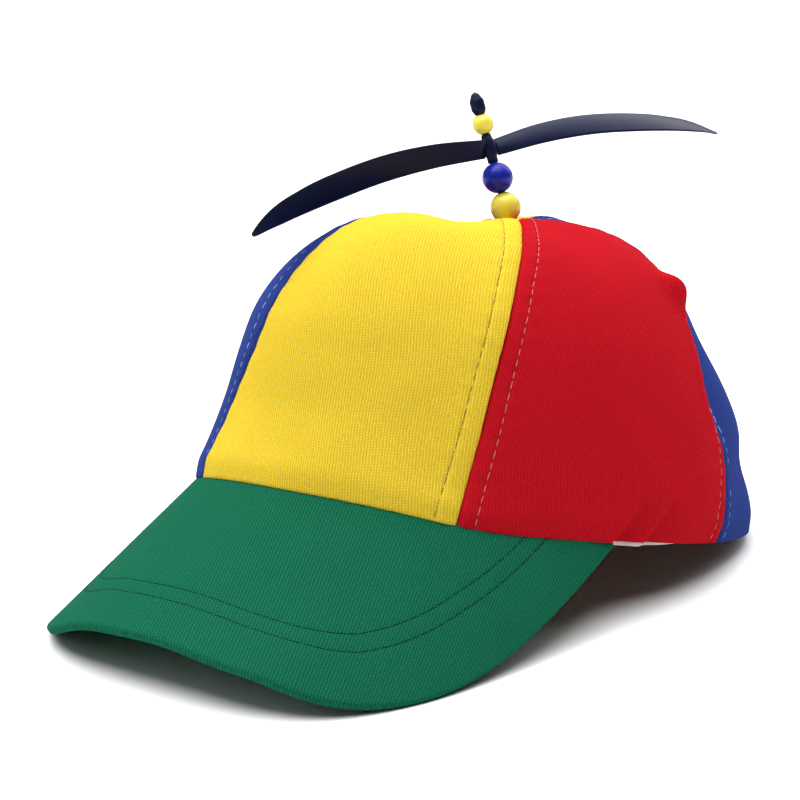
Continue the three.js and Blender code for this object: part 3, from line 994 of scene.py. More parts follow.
@dataclass(frozen=True)
class Stitching:
    """Lockstitch threads: grains of thread that dip into the cloth at both ends (millimetres).

    Attributes:
        pitch: Distance from stitch to stitch.
        size: Length, width and height of a stitch.
        mark: Length, width and height of the mark between two stitches, such as the painted shade of a
            needle hole.
        mark_share: Share of the gaps that show a mark.
        mark_lift: How far the mark's middle lies over the cloth.
        seed: Start of the small random differences.
    """

    pitch: float = 3.5
    size: tuple[float, float, float] = (2.45, 0.4, 0.3)
    mark: tuple[float, float, float] = (0.8, 0.36, 0.2)
    mark_share: float = 0.75
    mark_lift: float = 0.0
    seed: int = 7

    def grain(self) -> tuple[Array, Array]:
        """Shape of one stitch, as long as 1 along X.

        Returns:
            Its vertices and its faces.
        """
        bm = bmesh.new()
        upright = Matrix.Rotation(math.pi / 2, 4, "Y")
        bmesh.ops.create_uvsphere(bm, u_segments=6, v_segments=6, radius=0.5, matrix=upright)
        bmesh.ops.triangulate(bm, faces=bm.faces)
        bm.verts.index_update()
        verts = np.array([vert.co[:] for vert in bm.verts])
        faces = np.array([[vert.index for vert in face.verts] for face in bm.faces])
        bm.free()
        return verts, faces

    def sew(
        self,
        name: str,
        rows: Sequence[StitchRow],
        materials: Sequence[bpy.types.Material],
    ) -> bpy.types.Object:
        """Lay stitches along rows, as one mesh.

        Args:
            name: The piece's name.
            rows: The lines of stitches.
            materials: The thread's material, and that of the marks in the gaps if they show.

        Returns:
            The piece.
        """
        rng = np.random.default_rng(self.seed)
        grain, faces = self.grain()
        points: list[Array] = []
        slots: list[int] = []
        for row in rows:
            steps = np.linalg.norm(np.diff(row.points, axis=0), axis=1)
            lengths = np.concatenate([[0], np.cumsum(steps)]) / MM
            for k in range(int(lengths[-1] / self.pitch)):
                start = (k + 0.2 + rng.uniform(-0.05, 0.05)) * self.pitch
                reach = self.size[0] * rng.uniform(0.88, 1.08)
                first, last, mark = (
                    np.array([np.interp(s, lengths, row.points[:, i]) for i in range(3)])
                    for s in (start, start + reach, start + (reach + self.pitch) / 2)
                )
                out = unit(np.array([np.interp(start, lengths, row.out[:, i]) for i in range(3)]))
                frame = self.axes(last - first, out, rng.uniform(-0.05, 0.05))
                size = np.array([reach, *self.size[1:]]) * rng.uniform(0.9, 1.1)
                points.append((first + last) / 2 + (grain * size * MM) @ frame)
                slots.append(0)
                if len(materials) > 1 and rng.random() < self.mark_share:
                    size = np.array(self.mark) * rng.uniform(0.7, 1.2, 3)
                    points.append(mark + out * self.mark_lift * MM + (grain * size * MM) @ frame)
                    slots.append(1)
        mesh = bpy.data.meshes.new(name)
        corners = np.concatenate([faces + len(grain) * k for k in range(len(points))])
        mesh.from_pydata(np.concatenate(points).tolist(), [], corners.tolist())
        mesh.polygons.foreach_set("material_index", np.repeat(slots, len(faces)).astype(np.int32))
        return make_object(name, mesh, materials)

    @staticmethod
    def axes(along: Array, out: Array, sway: float) -> Array:
        """Rows of a stitch's own axes: along, across and out, with a slight sway."""
        along = unit(along)
        across = unit(np.cross(out, along))
        along = unit(along + sway * across)
        across = unit(np.cross(out, along))
        return np.stack([along, across, unit(np.cross(along, across))])


TOPSTITCH = {
    Dye.YELLOW: Stitching(size=(2.6, 0.34, 0.28)),
    Dye.RED: Stitching(size=(2.5, 0.34, 0.28)),
    Dye.BLUE: Stitching(size=(2.6, 0.5, 0.34)),
    Dye.GREEN: Stitching(
        pitch=3.2,
        size=(3.4, 0.26, 0.24),
        mark=(0.55, 0.24, 0.22),
        mark_share=0.55,
        mark_lift=0.08,
        seed=11,
    ),
}


# Sub-assemblies


@dataclass(frozen=True)
class Seam:
    """A seam between two gores. Its tables have a value for each section row.

    Attributes:
        around: Its place round the rim in degrees.
        sway: How far it sways from there, in degrees.
        over: Which gore lies over the other: 0 for the one before the seam, 1 for the one after.
        stitches: Distance of the topstitching before and after the seam, at rows 0, 2 and 4.
        tuck: Depth of the fold that the seam lies in.
        reach: How far that fold reaches before and after the seam.
        sunk: How deep the stitches lie in the cloth before and after the seam.
    """

    around: float
    sway: tuple[float, ...] = (0.0,) * 11
    over: int = 0
    stitches: tuple[tuple[float, ...], tuple[float, ...]] = ((6.0, 5.8, 5.6), (6.0, 5.8, 5.6))
    tuck: tuple[float, ...] = (0.0,) * 11
    reach: tuple[float, float] = (5.0, 5.0)
    sunk: tuple[float, float] = (0.0, 0.0)


FRONT_RIGHT = Seam(
    -30.9,
    sway=(-3.5, -1.7, -0.4, 2.3, 1.4, -1.4, -4.0, -6.0, -5.0, -3.0, 0.0),
    over=1,
    stitches=((3.6, 5.0, 6.5), (2.4, 2.4, 2.3)),
    tuck=(0.6, 0.8, 0.8, 0.8, 0.8, 0.7, 0.5, 0.3, 0.1, 0.0, 0.0),
    reach=(4.0, 4.0),
    sunk=(0.0, 0.1),
)
FRONT_LEFT = Seam(
    35.5,
    sway=(-0.5, -0.1, -0.1, 0.1, 0.1, -0.7, -1.3, -3.4, -3.0, -1.2, 0.0),
    over=0,
    stitches=((6.6, 6.0, 5.5), (5.7, 5.7, 5.7)),
    tuck=(0.4, 0.5, 0.6, 0.6, 0.5, 0.4, 0.3, 0.2, 0.2, 0.1, 0.0),
)
LEFT = Seam(
    96.9,
    sway=(0.0, 3.4, 4.0, -0.7, -0.5, 1.0, 3.0, 6.0, 4.6, 1.2, 0.0),
    over=0,
    stitches=((5.4, 5.4, 1.6), (4.6, 4.6, 4.6)),
    tuck=(0.2, 0.2, 0.9, 4.4, 4.4, 1.6, 0.4, 0.3, 0.2, 0.0, 0.0),
    reach=(5.2, 11.0),
)
BACK_LEFT = Seam(155.0, over=0)
BACK_RIGHT = Seam(213.0, over=1)
RIGHT = Seam(271.0, over=1)


@dataclass(frozen=True)
class Panel:
    """One gore of the crown: its node, its right and left seam as worn, its dye and its waves' phase."""

    node: str
    start: Seam
    end: Seam
    dye: Dye
    phase: float


PANELS = (
    Panel("front_panel", FRONT_RIGHT, FRONT_LEFT, Dye.YELLOW, 0.3),
    Panel("left_front_panel", FRONT_LEFT, LEFT, Dye.RED, 1.7),
    Panel("left_back_panel", LEFT, BACK_LEFT, Dye.BLUE, 2.9),
    Panel("back_panel", BACK_LEFT, BACK_RIGHT, Dye.YELLOW, 4.1),
    Panel("right_back_panel", BACK_RIGHT, RIGHT, Dye.RED, 5.2),
    Panel("right_front_panel", RIGHT, FRONT_RIGHT, Dye.BLUE, 0.9),
)


@dataclass
class Crown:
    """Six sewn gores with turned seams, topstitching and a rolled rim (millimetres).

    Attributes:
        columns, rows: Grid of a gore.
        edge_columns, edge_band, first_column, edge_share: Finer columns beside the seams.
        rim_rows: Rows round the rim's rolled edge.
        rim_rise: How far the rolled rim stands off the peak.
        seam_gap: Space between two gores at their seam.
        over_edge, under_edge: Depth and width of the edge that lies over, and of the one tucked under it.
        narrow, full: Widths of a gore where the relief beside its seams dies out and where it is whole.
        edge_at_top: Share of an edge's depth that is left at the top.
        lip, lip_at, lip_width: Swelling beside a fold, as shares of the fold's depth and reach.
        welt, welt_at, welt_width: Rise of the cloth over the seam allowance, and its place and half width
            as shares of the stitches' distance.
        groove, groove_width: The stitches' pull on the cloth.
        pucker, pucker_length, pucker_width: Waves of the cloth along the stitches.
        slack, slack_full: Long uneven waves of the soft cloth, and the width of a gore where they are whole.
        slack_from: Height over the rim where the slack is whole.
        hem, hem_at, hem_width: Swelling of the turned-up cloth over the rim.
        rise_band, rise_height: Where the rim's rise over the peak dies out, round the rim and upwards.
        stitch_span, stitch_samples, stitch_lift: Section rows of the topstitching, and how it is laid.
    """

    form: CrownForm
    place: CapPlace
    columns: int = 128
    rows: int = 150
    edge_columns: int = 28
    edge_band: float = 10.0
    first_column: float = 0.5
    edge_share: float = 0.36
    rim_rows: int = 6
    rim_rise: float = 0.1
    seam_gap: float = 0.03
    over_edge: tuple[float, float] = (0.25, 0.45)
    under_edge: tuple[float, float] = (1.0, 0.9)
    narrow: float = 10.0
    full: float = 36.0
    edge_at_top: float = 0.35
    lip: float = 0.12
    lip_at: float = 1.3
    lip_width: float = 0.5
    welt: float = 0.3
    welt_at: float = 0.55
    welt_width: float = 0.38
    groove: float = 0.24
    groove_width: float = 0.6
    pucker: float = 0.12
    pucker_length: float = 7.5
    pucker_width: float = 4.5
    slack: float = 0.32
    slack_full: float = 40.0
    slack_from: float = 12.0
    hem: float = 0.55
    hem_at: float = 6.5
    hem_width: float = 4.5
    rise_band: float = 0.1
    rise_height: float = 8.0
    stitch_span: tuple[float, float] = (0.06, 8.4)
    stitch_samples: int = 500
    stitch_lift: float = 0.03

    @staticmethod
    def angles(panel: Panel, row: Array, share: Array) -> Array:
        """Angles round the crown of places across a panel."""
        start, end = (
            np.radians(seam.around + along_rows(seam.sway, row)) for seam in (panel.start, panel.end)
        )
        return start + (end - start) % (2 * math.pi) * share

    def widths(self, panel: Panel) -> tuple[Array, Array, Array]:
        """How wide a panel is up its height.

        Args:
            panel: The panel.

        Returns:
            Section rows, the width at each, and the distance up the middle to each.
        """
        rows = np.linspace(0, self.form.last, 101)
        across, up = np.meshgrid(np.linspace(0, 1, 25), rows)
        grid = self.form.point(self.angles(panel, up, across), up, np.array(0.0))
        width = np.linalg.norm(np.diff(grid, axis=1), axis=-1).sum(axis=1)
        climb = np.linalg.norm(np.diff(grid[:, 12], axis=0), axis=-1)
        return rows, width, np.concatenate([[0.0], np.cumsum(climb)])

    def row_of(self, up: Array) -> Array:
        """Section row of a place up the grid, with fine steps round the rim's rolled edge."""
        roll = self.form.cloth / 2 / SECTIONS[1].height
        knee = self.rim_rows / self.rows
        share = np.clip(up / knee, 0, 1)
        above = stretch(up, ((knee, roll), (1, self.form.last)))
        return np.where(up < knee, roll * (1 - np.cos(share * math.pi / 2)), above)

    def share_of(self, across: Array, width: Array) -> Array:
        """Share of a panel's width at a place across the grid, with fine steps along both seams."""
        edge = self.edge_columns / self.columns
        band = np.minimum(self.edge_band, self.edge_share * width)
        near = np.minimum(across, 1 - across)
        first = self.first_column / self.edge_band
        inside = stretch(near, ((0, 0), (1 / self.columns, first), (edge, 1), (1, 1))) * band
        middle = band + (width / 2 - band) * np.clip((near - edge) / (0.5 - edge), 0, 1)
        distance = np.where(near < edge, inside, middle)
        distance = self.seam_gap / 2 + distance * (1 - self.seam_gap / width)
        return np.where(across < 0.5, distance, width - distance) / width

    @staticmethod
    def stitch_distance(seam: Seam, side: int, row: Array, width: Array) -> Array:
        """Distance of the topstitching from its seam."""
        return np.minimum(np.interp(row, (0, 2, 4), seam.stitches[side]), 0.3 * width)

    def relief(self, seam: Seam, side: int, near: Array, row: Array, climb: Array, width: Array) -> Array:
        """Relief beside a seam: its edge, its fold, a raised welt, and the stitches' groove and puckers.

        Args:
            seam: The seam.
            side: 0 on the gore before the seam and 1 on the one after it.
            near: Distance from the seam.
            row: Section row.
            climb: Distance up the panel.
            width: Width of the panel there.

        Returns:
            Height outwards.
        """
        fade = np.clip((width - self.narrow) / (self.full - self.narrow), 0, 1)
        over = seam.over == side
        depth, soft = self.over_edge if over else self.under_edge
        edge = -depth * np.exp(-((near / soft) ** 2)) * (self.edge_at_top + (1 - self.edge_at_top) * fade)
        fold = along_rows(seam.tuck, row)
        share = near / seam.reach[side]
        if over:
            ramp = np.clip(share, 0, 1)
            lip = self.lip * np.exp(-(((share - self.lip_at) / self.lip_width) ** 2))
            tucked = 1 - ramp**2 * (3 - 2 * ramp) - lip
        else:
            tucked = np.exp(-(share**2))
        stitch = self.stitch_distance(seam, side, row, width)
        welt = self.welt * np.exp(-(((near / stitch - self.welt_at) / self.welt_width) ** 4))
        groove = -self.groove * np.exp(-(((near - stitch) / self.groove_width) ** 2))
        phase = seam.around + side
        wave = np.sin(2 * math.pi * climb / self.pucker_length + phase + 1.3 * np.sin(climb / 17 + phase))
        pucker = self.pucker * wave * np.exp(-(((near - stitch) / self.pucker_width) ** 2))
        return edge - fold * tucked + (welt + groove + pucker) * fade

    def detail(self, panel: Panel, share: Array, row: Array, climb: Array, width: Array) -> Array:
        """Everything that stands out from or sinks into a panel's smooth form."""
        x = (share - 0.5) * width
        height = self.relief(panel.start, 1, share * width, row, climb, width)
        height += self.relief(panel.end, 0, (1 - share) * width, row, climb, width)
        calm = np.clip((width - self.narrow) / (self.slack_full - self.narrow), 0, 1)
        calm *= np.clip(climb / self.slack_from, 0, 1)
        hem = self.hem * np.exp(-(((climb - self.hem_at) / self.hem_width) ** 2))
        return height + hem + self.undulation(x, climb, panel.phase) * calm

    def undulation(self, x: Array, y: Array, phase: float) -> Array:
        """Slack of soft cloth: long uneven waves over a panel."""
        waves = np.sin(x / 11 + phase) * np.sin(y / 14 + 2 * phase)
        waves += 0.6 * np.sin((x + y) / 8.3 + 3 * phase) * np.sin((x - 0.6 * y) / 12.5 + phase)
        waves += 0.35 * np.sin(x / 5.1 + 5 * phase) * np.sin(y / 6.7 + phase)
        return self.slack * waves

    def panel_mesh(self, panel: Panel) -> bpy.types.Mesh:
        """Shape one gore.

        Args:
            panel: The gore.

        Returns:
            Its mesh.
        """
        rows, widths, climbs = self.widths(panel)

        def at(across: Array, up: Array, face: Array) -> tuple[Array, Array]:
            row = self.row_of(up)
            width = np.interp(row, rows, widths)
            climb = np.interp(row, rows, climbs)
            share = self.share_of(across, width)
            around = self.angles(panel, row, share)
            x = (share - 0.5) * width
            detail = self.detail(panel, share, row, climb, width)
            detail += self.form.crease_depth(self.form.shell(around, row))
            rolled = round_over(climb, self.form.cloth / 2)
            depth = face * self.form.cloth + (1 - 2 * face) * rolled - (1 - face) * detail
            depth -= face * np.minimum(detail, 0)
            points = self.form.point(around, row, depth)
            on_peak = (self.form.peak_corner - self.form.from_front(around)) / self.rise_band
            rise = np.clip(on_peak, 0, 1) * np.clip(1 - climb / self.rise_height, 0, 1)
            points[:, 2] += self.rim_rise * rise
            return self.place.lay(points), np.stack([x, climb], -1)

        return cloth_shell(panel.node, self.columns, self.rows, at)

    def seam_row(self, panel: Panel, side: int) -> StitchRow:
        """Line of topstitching beside one seam of a panel.

        Args:
            panel: The panel.
            side: 0 for its right seam and 1 for its left, as worn.

        Returns:
            The line.
        """
        rows, widths, climbs = self.widths(panel)
        row = np.linspace(*self.stitch_span, self.stitch_samples)
        width = np.interp(row, rows, widths)
        climb = np.interp(row, rows, climbs)
        seam = panel.end if side else panel.start
        distance = self.stitch_distance(seam, 1 - side, row, width)
        share = distance / width if side == 0 else 1 - distance / width
        around = self.angles(panel, row, share)
        detail = self.detail(panel, share, row, climb, width)
        detail += self.form.crease_depth(self.form.shell(around, row))
        depth = seam.sunk[1 - side] - detail - self.stitch_lift
        points = self.place.lay(self.form.point(around, row, depth))
        out = self.form.axes(around, row)[2] @ np.array(self.place.matrix)[:3, :3].T
        return StitchRow(points, out)

    def declare(self, panel: Panel) -> None:
        """Work out a gore's widths and its climb up the middle; nothing is kept."""
        _, widths, climbs = self.widths(panel)

    def build(self) -> None:
        """Make and dress the gores and their topstitching."""
        cloths = {dye: TWILLS[dye].make() for dye in (Dye.YELLOW, Dye.RED, Dye.BLUE)}
        hole = NEEDLE_HOLE_SHADE.make()
        for panel in PANELS:
            gore = make_object(panel.node + "_cloth", self.panel_mesh(panel), [cloths[panel.dye]])
            dress(gore, "cap", [panel.node])
            self.declare(panel)
        for dye in cloths:
            lines = [self.seam_row(panel, side) for panel in PANELS if panel.dye is dye for side in (0, 1)]
            materials = [THREADS[dye].make()]
            # The yellow stitching gets the needle holes' painted shade as marks in its gaps.
            if dye is Dye.YELLOW:
                materials.append(hole)
            stitches = TOPSTITCH[dye].sew(dye.value + "_topstitch", lines, materials)
            dress(stitches, "cap")


# Places along the peak's edge, from right to left as worn, and how far in the stitch rows drift there
ROW_DRIFT = (
    (-1.0, 3.5),
    (-0.58, -1.5),
    (-0.33, 2.0),
    (0.0, 0.1),
    (0.3, 0.4),
    (0.55, -0.3),
    (0.8, 3.4),
    (1.0, 3.8),
)


@dataclass
class Peak:
    """Cloth-covered peak with a rolled edge and two rows of stitches (millimetres).

    Attributes:
        stitch_rows: Distance of the rows from the outer edge, to which ROW_DRIFT adds along the edge.
        channel, channel_width: The stitches' pull on the cloth.
        stitch_lift: How far the stitches stand out of that channel.
        edge_rows, edge_samples, edge_parts: Rows round the rolled edge, and how the edge is sampled.
        under_round: Share of the edge's roll on the under face.
        end_band, end_share: Where the ends start to thin down, and what is left of the thickness there.
    """

    form: PeakForm
    place: CapPlace
    columns: int = 240
    rows: int = 110
    edge_rows: int = 8
    stitch_rows: tuple[float, ...] = (15.0, 20.3)
    channel: float = 0.1
    channel_width: float = 0.9
    under_round: float = 0.2
    end_band: float = 0.07
    end_share: float = 0.15
    edge_samples: int = 900
    edge_parts: int = 30
    stitch_lift: float = 0.05
    halvings: int = 22

    def edge_distance(self, points: Array) -> Array:
        """Distance of points from the outer edge over the cloth, less the drift of the stitch rows."""
        across = np.linspace(-self.form.end, self.form.end, self.edge_samples)
        edge = self.form.flat(self.form.point(across, np.ones_like(across), np.zeros_like(across)))
        drift = stretch(across, ROW_DRIFT)
        flat = self.form.flat(points)
        nearest, drifted = np.full(len(points), np.inf), np.zeros(len(points))
        parts = (np.array_split(values, self.edge_parts) for values in (edge, drift))
        for part, extra in zip(*parts):
            apart = np.linalg.norm(flat[:, None] - part[None], axis=-1)
            closest = apart.argmin(axis=1)
            distance = apart[np.arange(len(flat)), closest]
            drifted = np.where(distance < nearest, extra[closest], drifted)
            nearest = np.minimum(nearest, distance)
        return nearest - drifted

    def mesh(self) -> bpy.types.Mesh:
        """Shape the peak.

        Returns:
            Its mesh.
        """

        def at(across: Array, up: Array, face: Array) -> tuple[Array, Array]:
            sideways = (2 * across - 1) * self.form.end
            body = np.sqrt(np.clip((self.form.end - np.abs(sideways)) / self.end_band, 0, 1))
            thickness = self.form.thickness * (self.end_share + (1 - self.end_share) * body)
            half = thickness / 2
            inner = self.form.point(sideways, np.zeros_like(up), np.zeros_like(up))
            outer = self.form.point(sideways, np.ones_like(up), np.zeros_like(up))
            length = np.maximum(np.linalg.norm(outer - inner, axis=-1), 1.0)
            knee = self.edge_rows / self.rows
            share = np.clip(up / knee, 0, 1)
            near = half * (1 - np.cos(share * math.pi / 2))
            roll = np.minimum(half / length, 0.5)
            beyond = roll + (1 - roll) * (up - knee) / (1 - knee)
            from_edge = np.where(up < knee, near / half * roll, beyond)
            out = 1 - from_edge
            flat = self.form.point(sideways, out, np.zeros_like(up))
            distance = self.edge_distance(flat)
            sunk = sum(np.exp(-(((distance - row) / self.channel_width) ** 2)) for row in self.stitch_rows)
            rolled = round_over(np.where(up < knee, near, half), half)
            drawn = rolled * np.where(face > 0.5, -self.under_round, 1.0)
            depth = face * thickness + drawn + (1 - 2 * face) * self.channel * sunk
            points = self.form.point(sideways, out, depth)
            return self.place.lay(points), self.form.flat(flat)

        return cloth_shell("peak", self.columns, self.rows, at)

    def stitch_line(self, distance: float) -> StitchRow:
        """Line of stitches at a distance from the outer edge, ending under the crown.

        Args:
            distance: Distance from the edge.

        Returns:
            The line.
        """
        across = np.linspace(-self.form.end, self.form.end, self.edge_samples)
        flush = np.zeros_like(across)
        reaches = self.edge_distance(self.form.point(across, flush, flush)) > distance
        reaches &= self.edge_distance(self.form.point(across, flush + 1, flush)) < distance
        across, flush = across[reaches], flush[reaches]
        near, far = np.zeros_like(across), np.ones_like(across)
        for _ in range(self.halvings):
            out = (near + far) / 2
            inside = self.edge_distance(self.form.point(across, out, flush)) > distance
            near, far = np.where(inside, out, near), np.where(inside, far, out)
        points = self.form.point(across, near, flush - self.stitch_lift + self.channel)
        turn = np.array(self.place.matrix)[:3, :3].T
        return StitchRow(self.place.lay(points), unit(self.form.normal(points[:, 0])) @ turn)

    def build(self) -> None:
        """Make and dress the peak and its stitches."""
        peak = make_object("peak_cloth", self.mesh(), [TWILLS[Dye.GREEN].make()])
        dress(peak, "cap", ["peak"])
        lines = [self.stitch_line(distance) for distance in self.stitch_rows]
        materials = [THREADS[Dye.GREEN].make(), STITCH_END.make()]
        stitches = TOPSTITCH[Dye.GREEN].sew("green_topstitch", lines, materials)
        dress(stitches, "cap")


@dataclass
class Sweatband:
    """White band inside the rim, showing a little below it at the sides (millimetres).

    Attributes:
        top_row: Section row of its upper edge.
        showing: How far it hangs below the rim in front.
        tuck: How far it is tucked up behind.
        tuck_from, tuck_to: Where it goes from showing to tucked, round from the front.
        drop_rows: Rows of the grid that the drop dies out over.
    """

    form: CrownForm
    place: CapPlace
    thickness: float = 1.0
    top_row: float = 2.0
    columns: int = 360
    rows: int = 36
    showing: float = 1.3
    tuck: float = 1.0
    tuck_from: float = math.radians(72)
    tuck_to: float = math.radians(94)
    drop_rows: int = 4

    def mesh(self) -> bpy.types.Mesh:
        """Shape the band as a closed ring.

        Returns:
            Its mesh.
        """
        bm = bmesh.new()
        bmesh.ops.create_circle(bm, segments=self.columns, radius=1.0)
        ring = bm.edges[:]
        section = [(0.0, k / self.rows) for k in range(self.rows + 1)]
        section += [(1.0, 1 - k / self.rows) for k in range(self.rows + 1)]
        first = ring
        for inside, up in section[1:]:
            made = bmesh.ops.extrude_edge_only(bm, edges=ring)["geom"]
            verts = [item for item in made if isinstance(item, bmesh.types.BMVert)]
            for vert in verts:
                flat = Vector((vert.co.x, vert.co.y, 0)).normalized() * (1 + inside)
                vert.co = (flat.x, flat.y, up)
            ring = [item for item in made if isinstance(item, bmesh.types.BMEdge)]
        bmesh.ops.bridge_loops(bm, edges=first + ring)
        bm.verts.index_update()
        flat = np.array([vert.co[:] for vert in bm.verts])
        around = np.arctan2(flat[:, 0], -flat[:, 1])
        inside = np.hypot(flat[:, 0], flat[:, 1]) - 1
        row = flat[:, 2] * self.top_row
        depth = self.form.cloth + self.form.gap + inside * self.thickness
        depth -= np.minimum(self.form.crease_depth(self.form.shell(around, row)), 0)
        points = self.form.point(around, row, depth)
        share = (self.form.from_front(around) - self.tuck_from) / (self.tuck_to - self.tuck_from)
        share = np.clip(share, 0, 1)
        drop = self.showing + (-self.tuck - self.showing) * share * share * (3 - 2 * share)
        points[:, 2] -= drop * np.clip(1 - flat[:, 2] * self.rows / self.drop_rows, 0, 1)
        cloth = np.stack([around * SECTIONS[0].side, row * SECTIONS[1].height], -1)
        return cloth_mesh("sweatband", bm, self.place.lay(points), cloth)

    def build(self) -> None:
        """Make and dress the band."""
        band = make_object("sweatband_cloth", self.mesh(), [TWILLS[Dye.WHITE].make()])
        dress(band, "cap", ["sweatband"])


@dataclass(frozen=True)
class BladeSection:
    """A section of a blade: share of the span, chord, pitch in degrees, and its rise and sweep."""

    share: float
    chord: float
    pitch: float
    rise: float
    sweep: float


BLADE_SECTIONS = (
    BladeSection(0.0, 6.4, 59, 0.0, 1.0),
    BladeSection(0.2, 8.4, 55, 1.3, 0.1),
    BladeSection(0.4, 10.0, 50, 0.9, 0.1),
    BladeSection(0.6, 11.0, 46, -1.3, 1.0),
    BladeSection(0.8, 10.8, 41, -4.7, 2.8),
    BladeSection(0.93, 8.2, 38, -8.0, 4.4),
    BladeSection(1.0, 0.8, 37, -10.8, 5.4),
)


@dataclass
class Mast:
    """Stem, beads, propeller and finial, threaded on the leaning stem (millimetres).

    Attributes:
        radius, root: Where a blade ends and begins, from the stem's axis.
        thickness, edge_share, tip_share: A blade's thickness, and what is left of it at its edges and tip.
        tip_from: Share of the span where the tip starts to round off.
        tip_crowding: Exponent that crowds a blade's steps towards its tip.
        camber: Hollow of a blade at its root.
        turn: Turn of the propeller about the stem at rest.
        bead_fit, bead_lip, bead_soft: Clearance of a bead's hole, and the softened edge round it.
        hub_neck, hub_radius, hub_shoulder: Radii of the hub from below upwards.
        finial_foot, finial_radius, finial_shoulder: Radii of the finial from below upwards.
        sharp_angle, sharp_from: Which edges of the finial are softened, by angle and distance from its foot.
    """

    stack: Stack
    place: CapPlace
    radius: float = 93.0
    root: float = 2.3
    thickness: float = 1.5
    edge_share: float = 0.35
    tip_share: float = 0.5
    tip_from: float = BLADE_SECTIONS[-3].share
    camber: float = 0.5
    turn: float = math.radians(66.2)
    tip_crowding: float = 1.35
    span_steps: int = 64
    chord_steps: int = 14
    round_steps: int = 56
    stem_steps: int = 32
    stem_soft: float = 0.25
    bead_steps: int = 26
    bead_fit: float = 0.05
    bead_lip: float = 0.12
    bead_soft: float = 0.04
    hub_steps: int = 40
    hub_neck: float = 1.75
    hub_radius: float = 2.2
    hub_shoulder: float = 1.95
    hub_lip: float = 0.08
    finial_sides: int = 6
    finial_foot: float = 1.9
    finial_radius: float = 2.65
    finial_shoulder: float = 1.45
    finial_soft: float = 0.16
    sharp_angle: float = 0.3
    sharp_from: float = 1.6

    def lay(self, bm: bmesh.types.BMesh, at: float, turn: float = 0.0) -> None:
        """Move a piece made about Z to its height on the stem, in metres in the model's frame.

        Args:
            bm: The piece.
            at: Height along the stem.
            turn: Turn about the stem.
        """
        along = Matrix.Translation((0, 0, at)) @ Matrix.Rotation(turn, 4, "Z")
        matrix = self.place.matrix @ self.stack.matrix() @ along
        bmesh.ops.transform(bm, matrix=Matrix.Scale(MM, 4) @ matrix, verts=bm.verts)

    def finish(self, bm: bmesh.types.BMesh, name: str, material: bpy.types.Material) -> bpy.types.Object:
        """Turn a bmesh into a piece."""
        mesh = bpy.data.meshes.new(name)
        bm.to_mesh(mesh)
        bm.free()
        return make_object(name, mesh, [material])

    def bead(self, name: str, radius: float, at: float, material: bpy.types.Material) -> bpy.types.Object:
        """Drilled bead with a softened edge round its hole.

        Args:
            name: The piece's name.
            radius: The bead's radius.
            at: Height of its middle along the stem.
            material: Its paint.

        Returns:
            The piece.
        """
        bore, soft = self.stack.stem_radius + self.bead_fit, self.bead_soft
        pole = math.asin((bore + self.bead_lip) / radius)
        profile = []
        for angle in np.linspace(math.pi - pole, pole, self.bead_steps + 1):
            profile.append((radius * math.sin(angle), radius * math.cos(angle)))
        top = profile[-1][1]
        inner = top - self.bead_lip
        profile += [(bore + soft, top - soft), (bore, inner), (bore, -inner), (bore + soft, soft - top)]
        bm = turned_mesh(profile, self.round_steps, True)
        self.lay(bm, at)
        return self.finish(bm, name, material)

    def stem(self, material: bpy.types.Material) -> bpy.types.Object:
        """Plain round post with its foot inside the crown."""
        s = self.stack
        low, foot = -s.foot_drop - s.foot_height, -s.foot_drop
        top = s.finial_at + s.stem_into_finial
        soft = self.stem_soft
        profile = [
            (0, low),
            (s.foot_radius - soft, low),
            (s.foot_radius, low + soft),
            (s.foot_radius, foot - soft),
            (s.foot_radius - soft, foot),
            (s.stem_radius, foot),
            (s.stem_radius, top - soft),
            (s.stem_radius - soft, top),
            (0, top),
        ]
        bm = turned_mesh(profile, self.stem_steps, False)
        self.lay(bm, 0.0)
        return self.finish(bm, "stem_post", material)

    def finial(self, material: bpy.types.Material) -> bpy.types.Object:
        """Six-sided pointed end piece."""
        s = self.stack
        height = s.finial_height
        hole = s.stem_into_finial + s.gap
        profile = [
            (0, hole),
            (s.bore, hole),
            (s.bore, 0),
            (self.finial_foot, 0),
            (self.finial_radius, height * 0.2),
            (self.finial_radius, height * 0.58),
            (self.finial_shoulder, height * 0.88),
            (0, height),
        ]
        bm = turned_mesh(profile, self.finial_sides, False)
        outside = [edge for edge in bm.edges if edge.verts[0].co.length > self.sharp_from]
        sharp = [edge for edge in outside if edge.calc_face_angle(0) > self.sharp_angle]
        soft = {"offset": self.finial_soft, "segments": 2, "profile": 0.5, "clamp_overlap": True}
        bmesh.ops.bevel(bm, geom=sharp, affect="EDGES", material=-1, **soft)
        self.lay(bm, s.finial_at)
        return self.finish(bm, "finial_end", material)

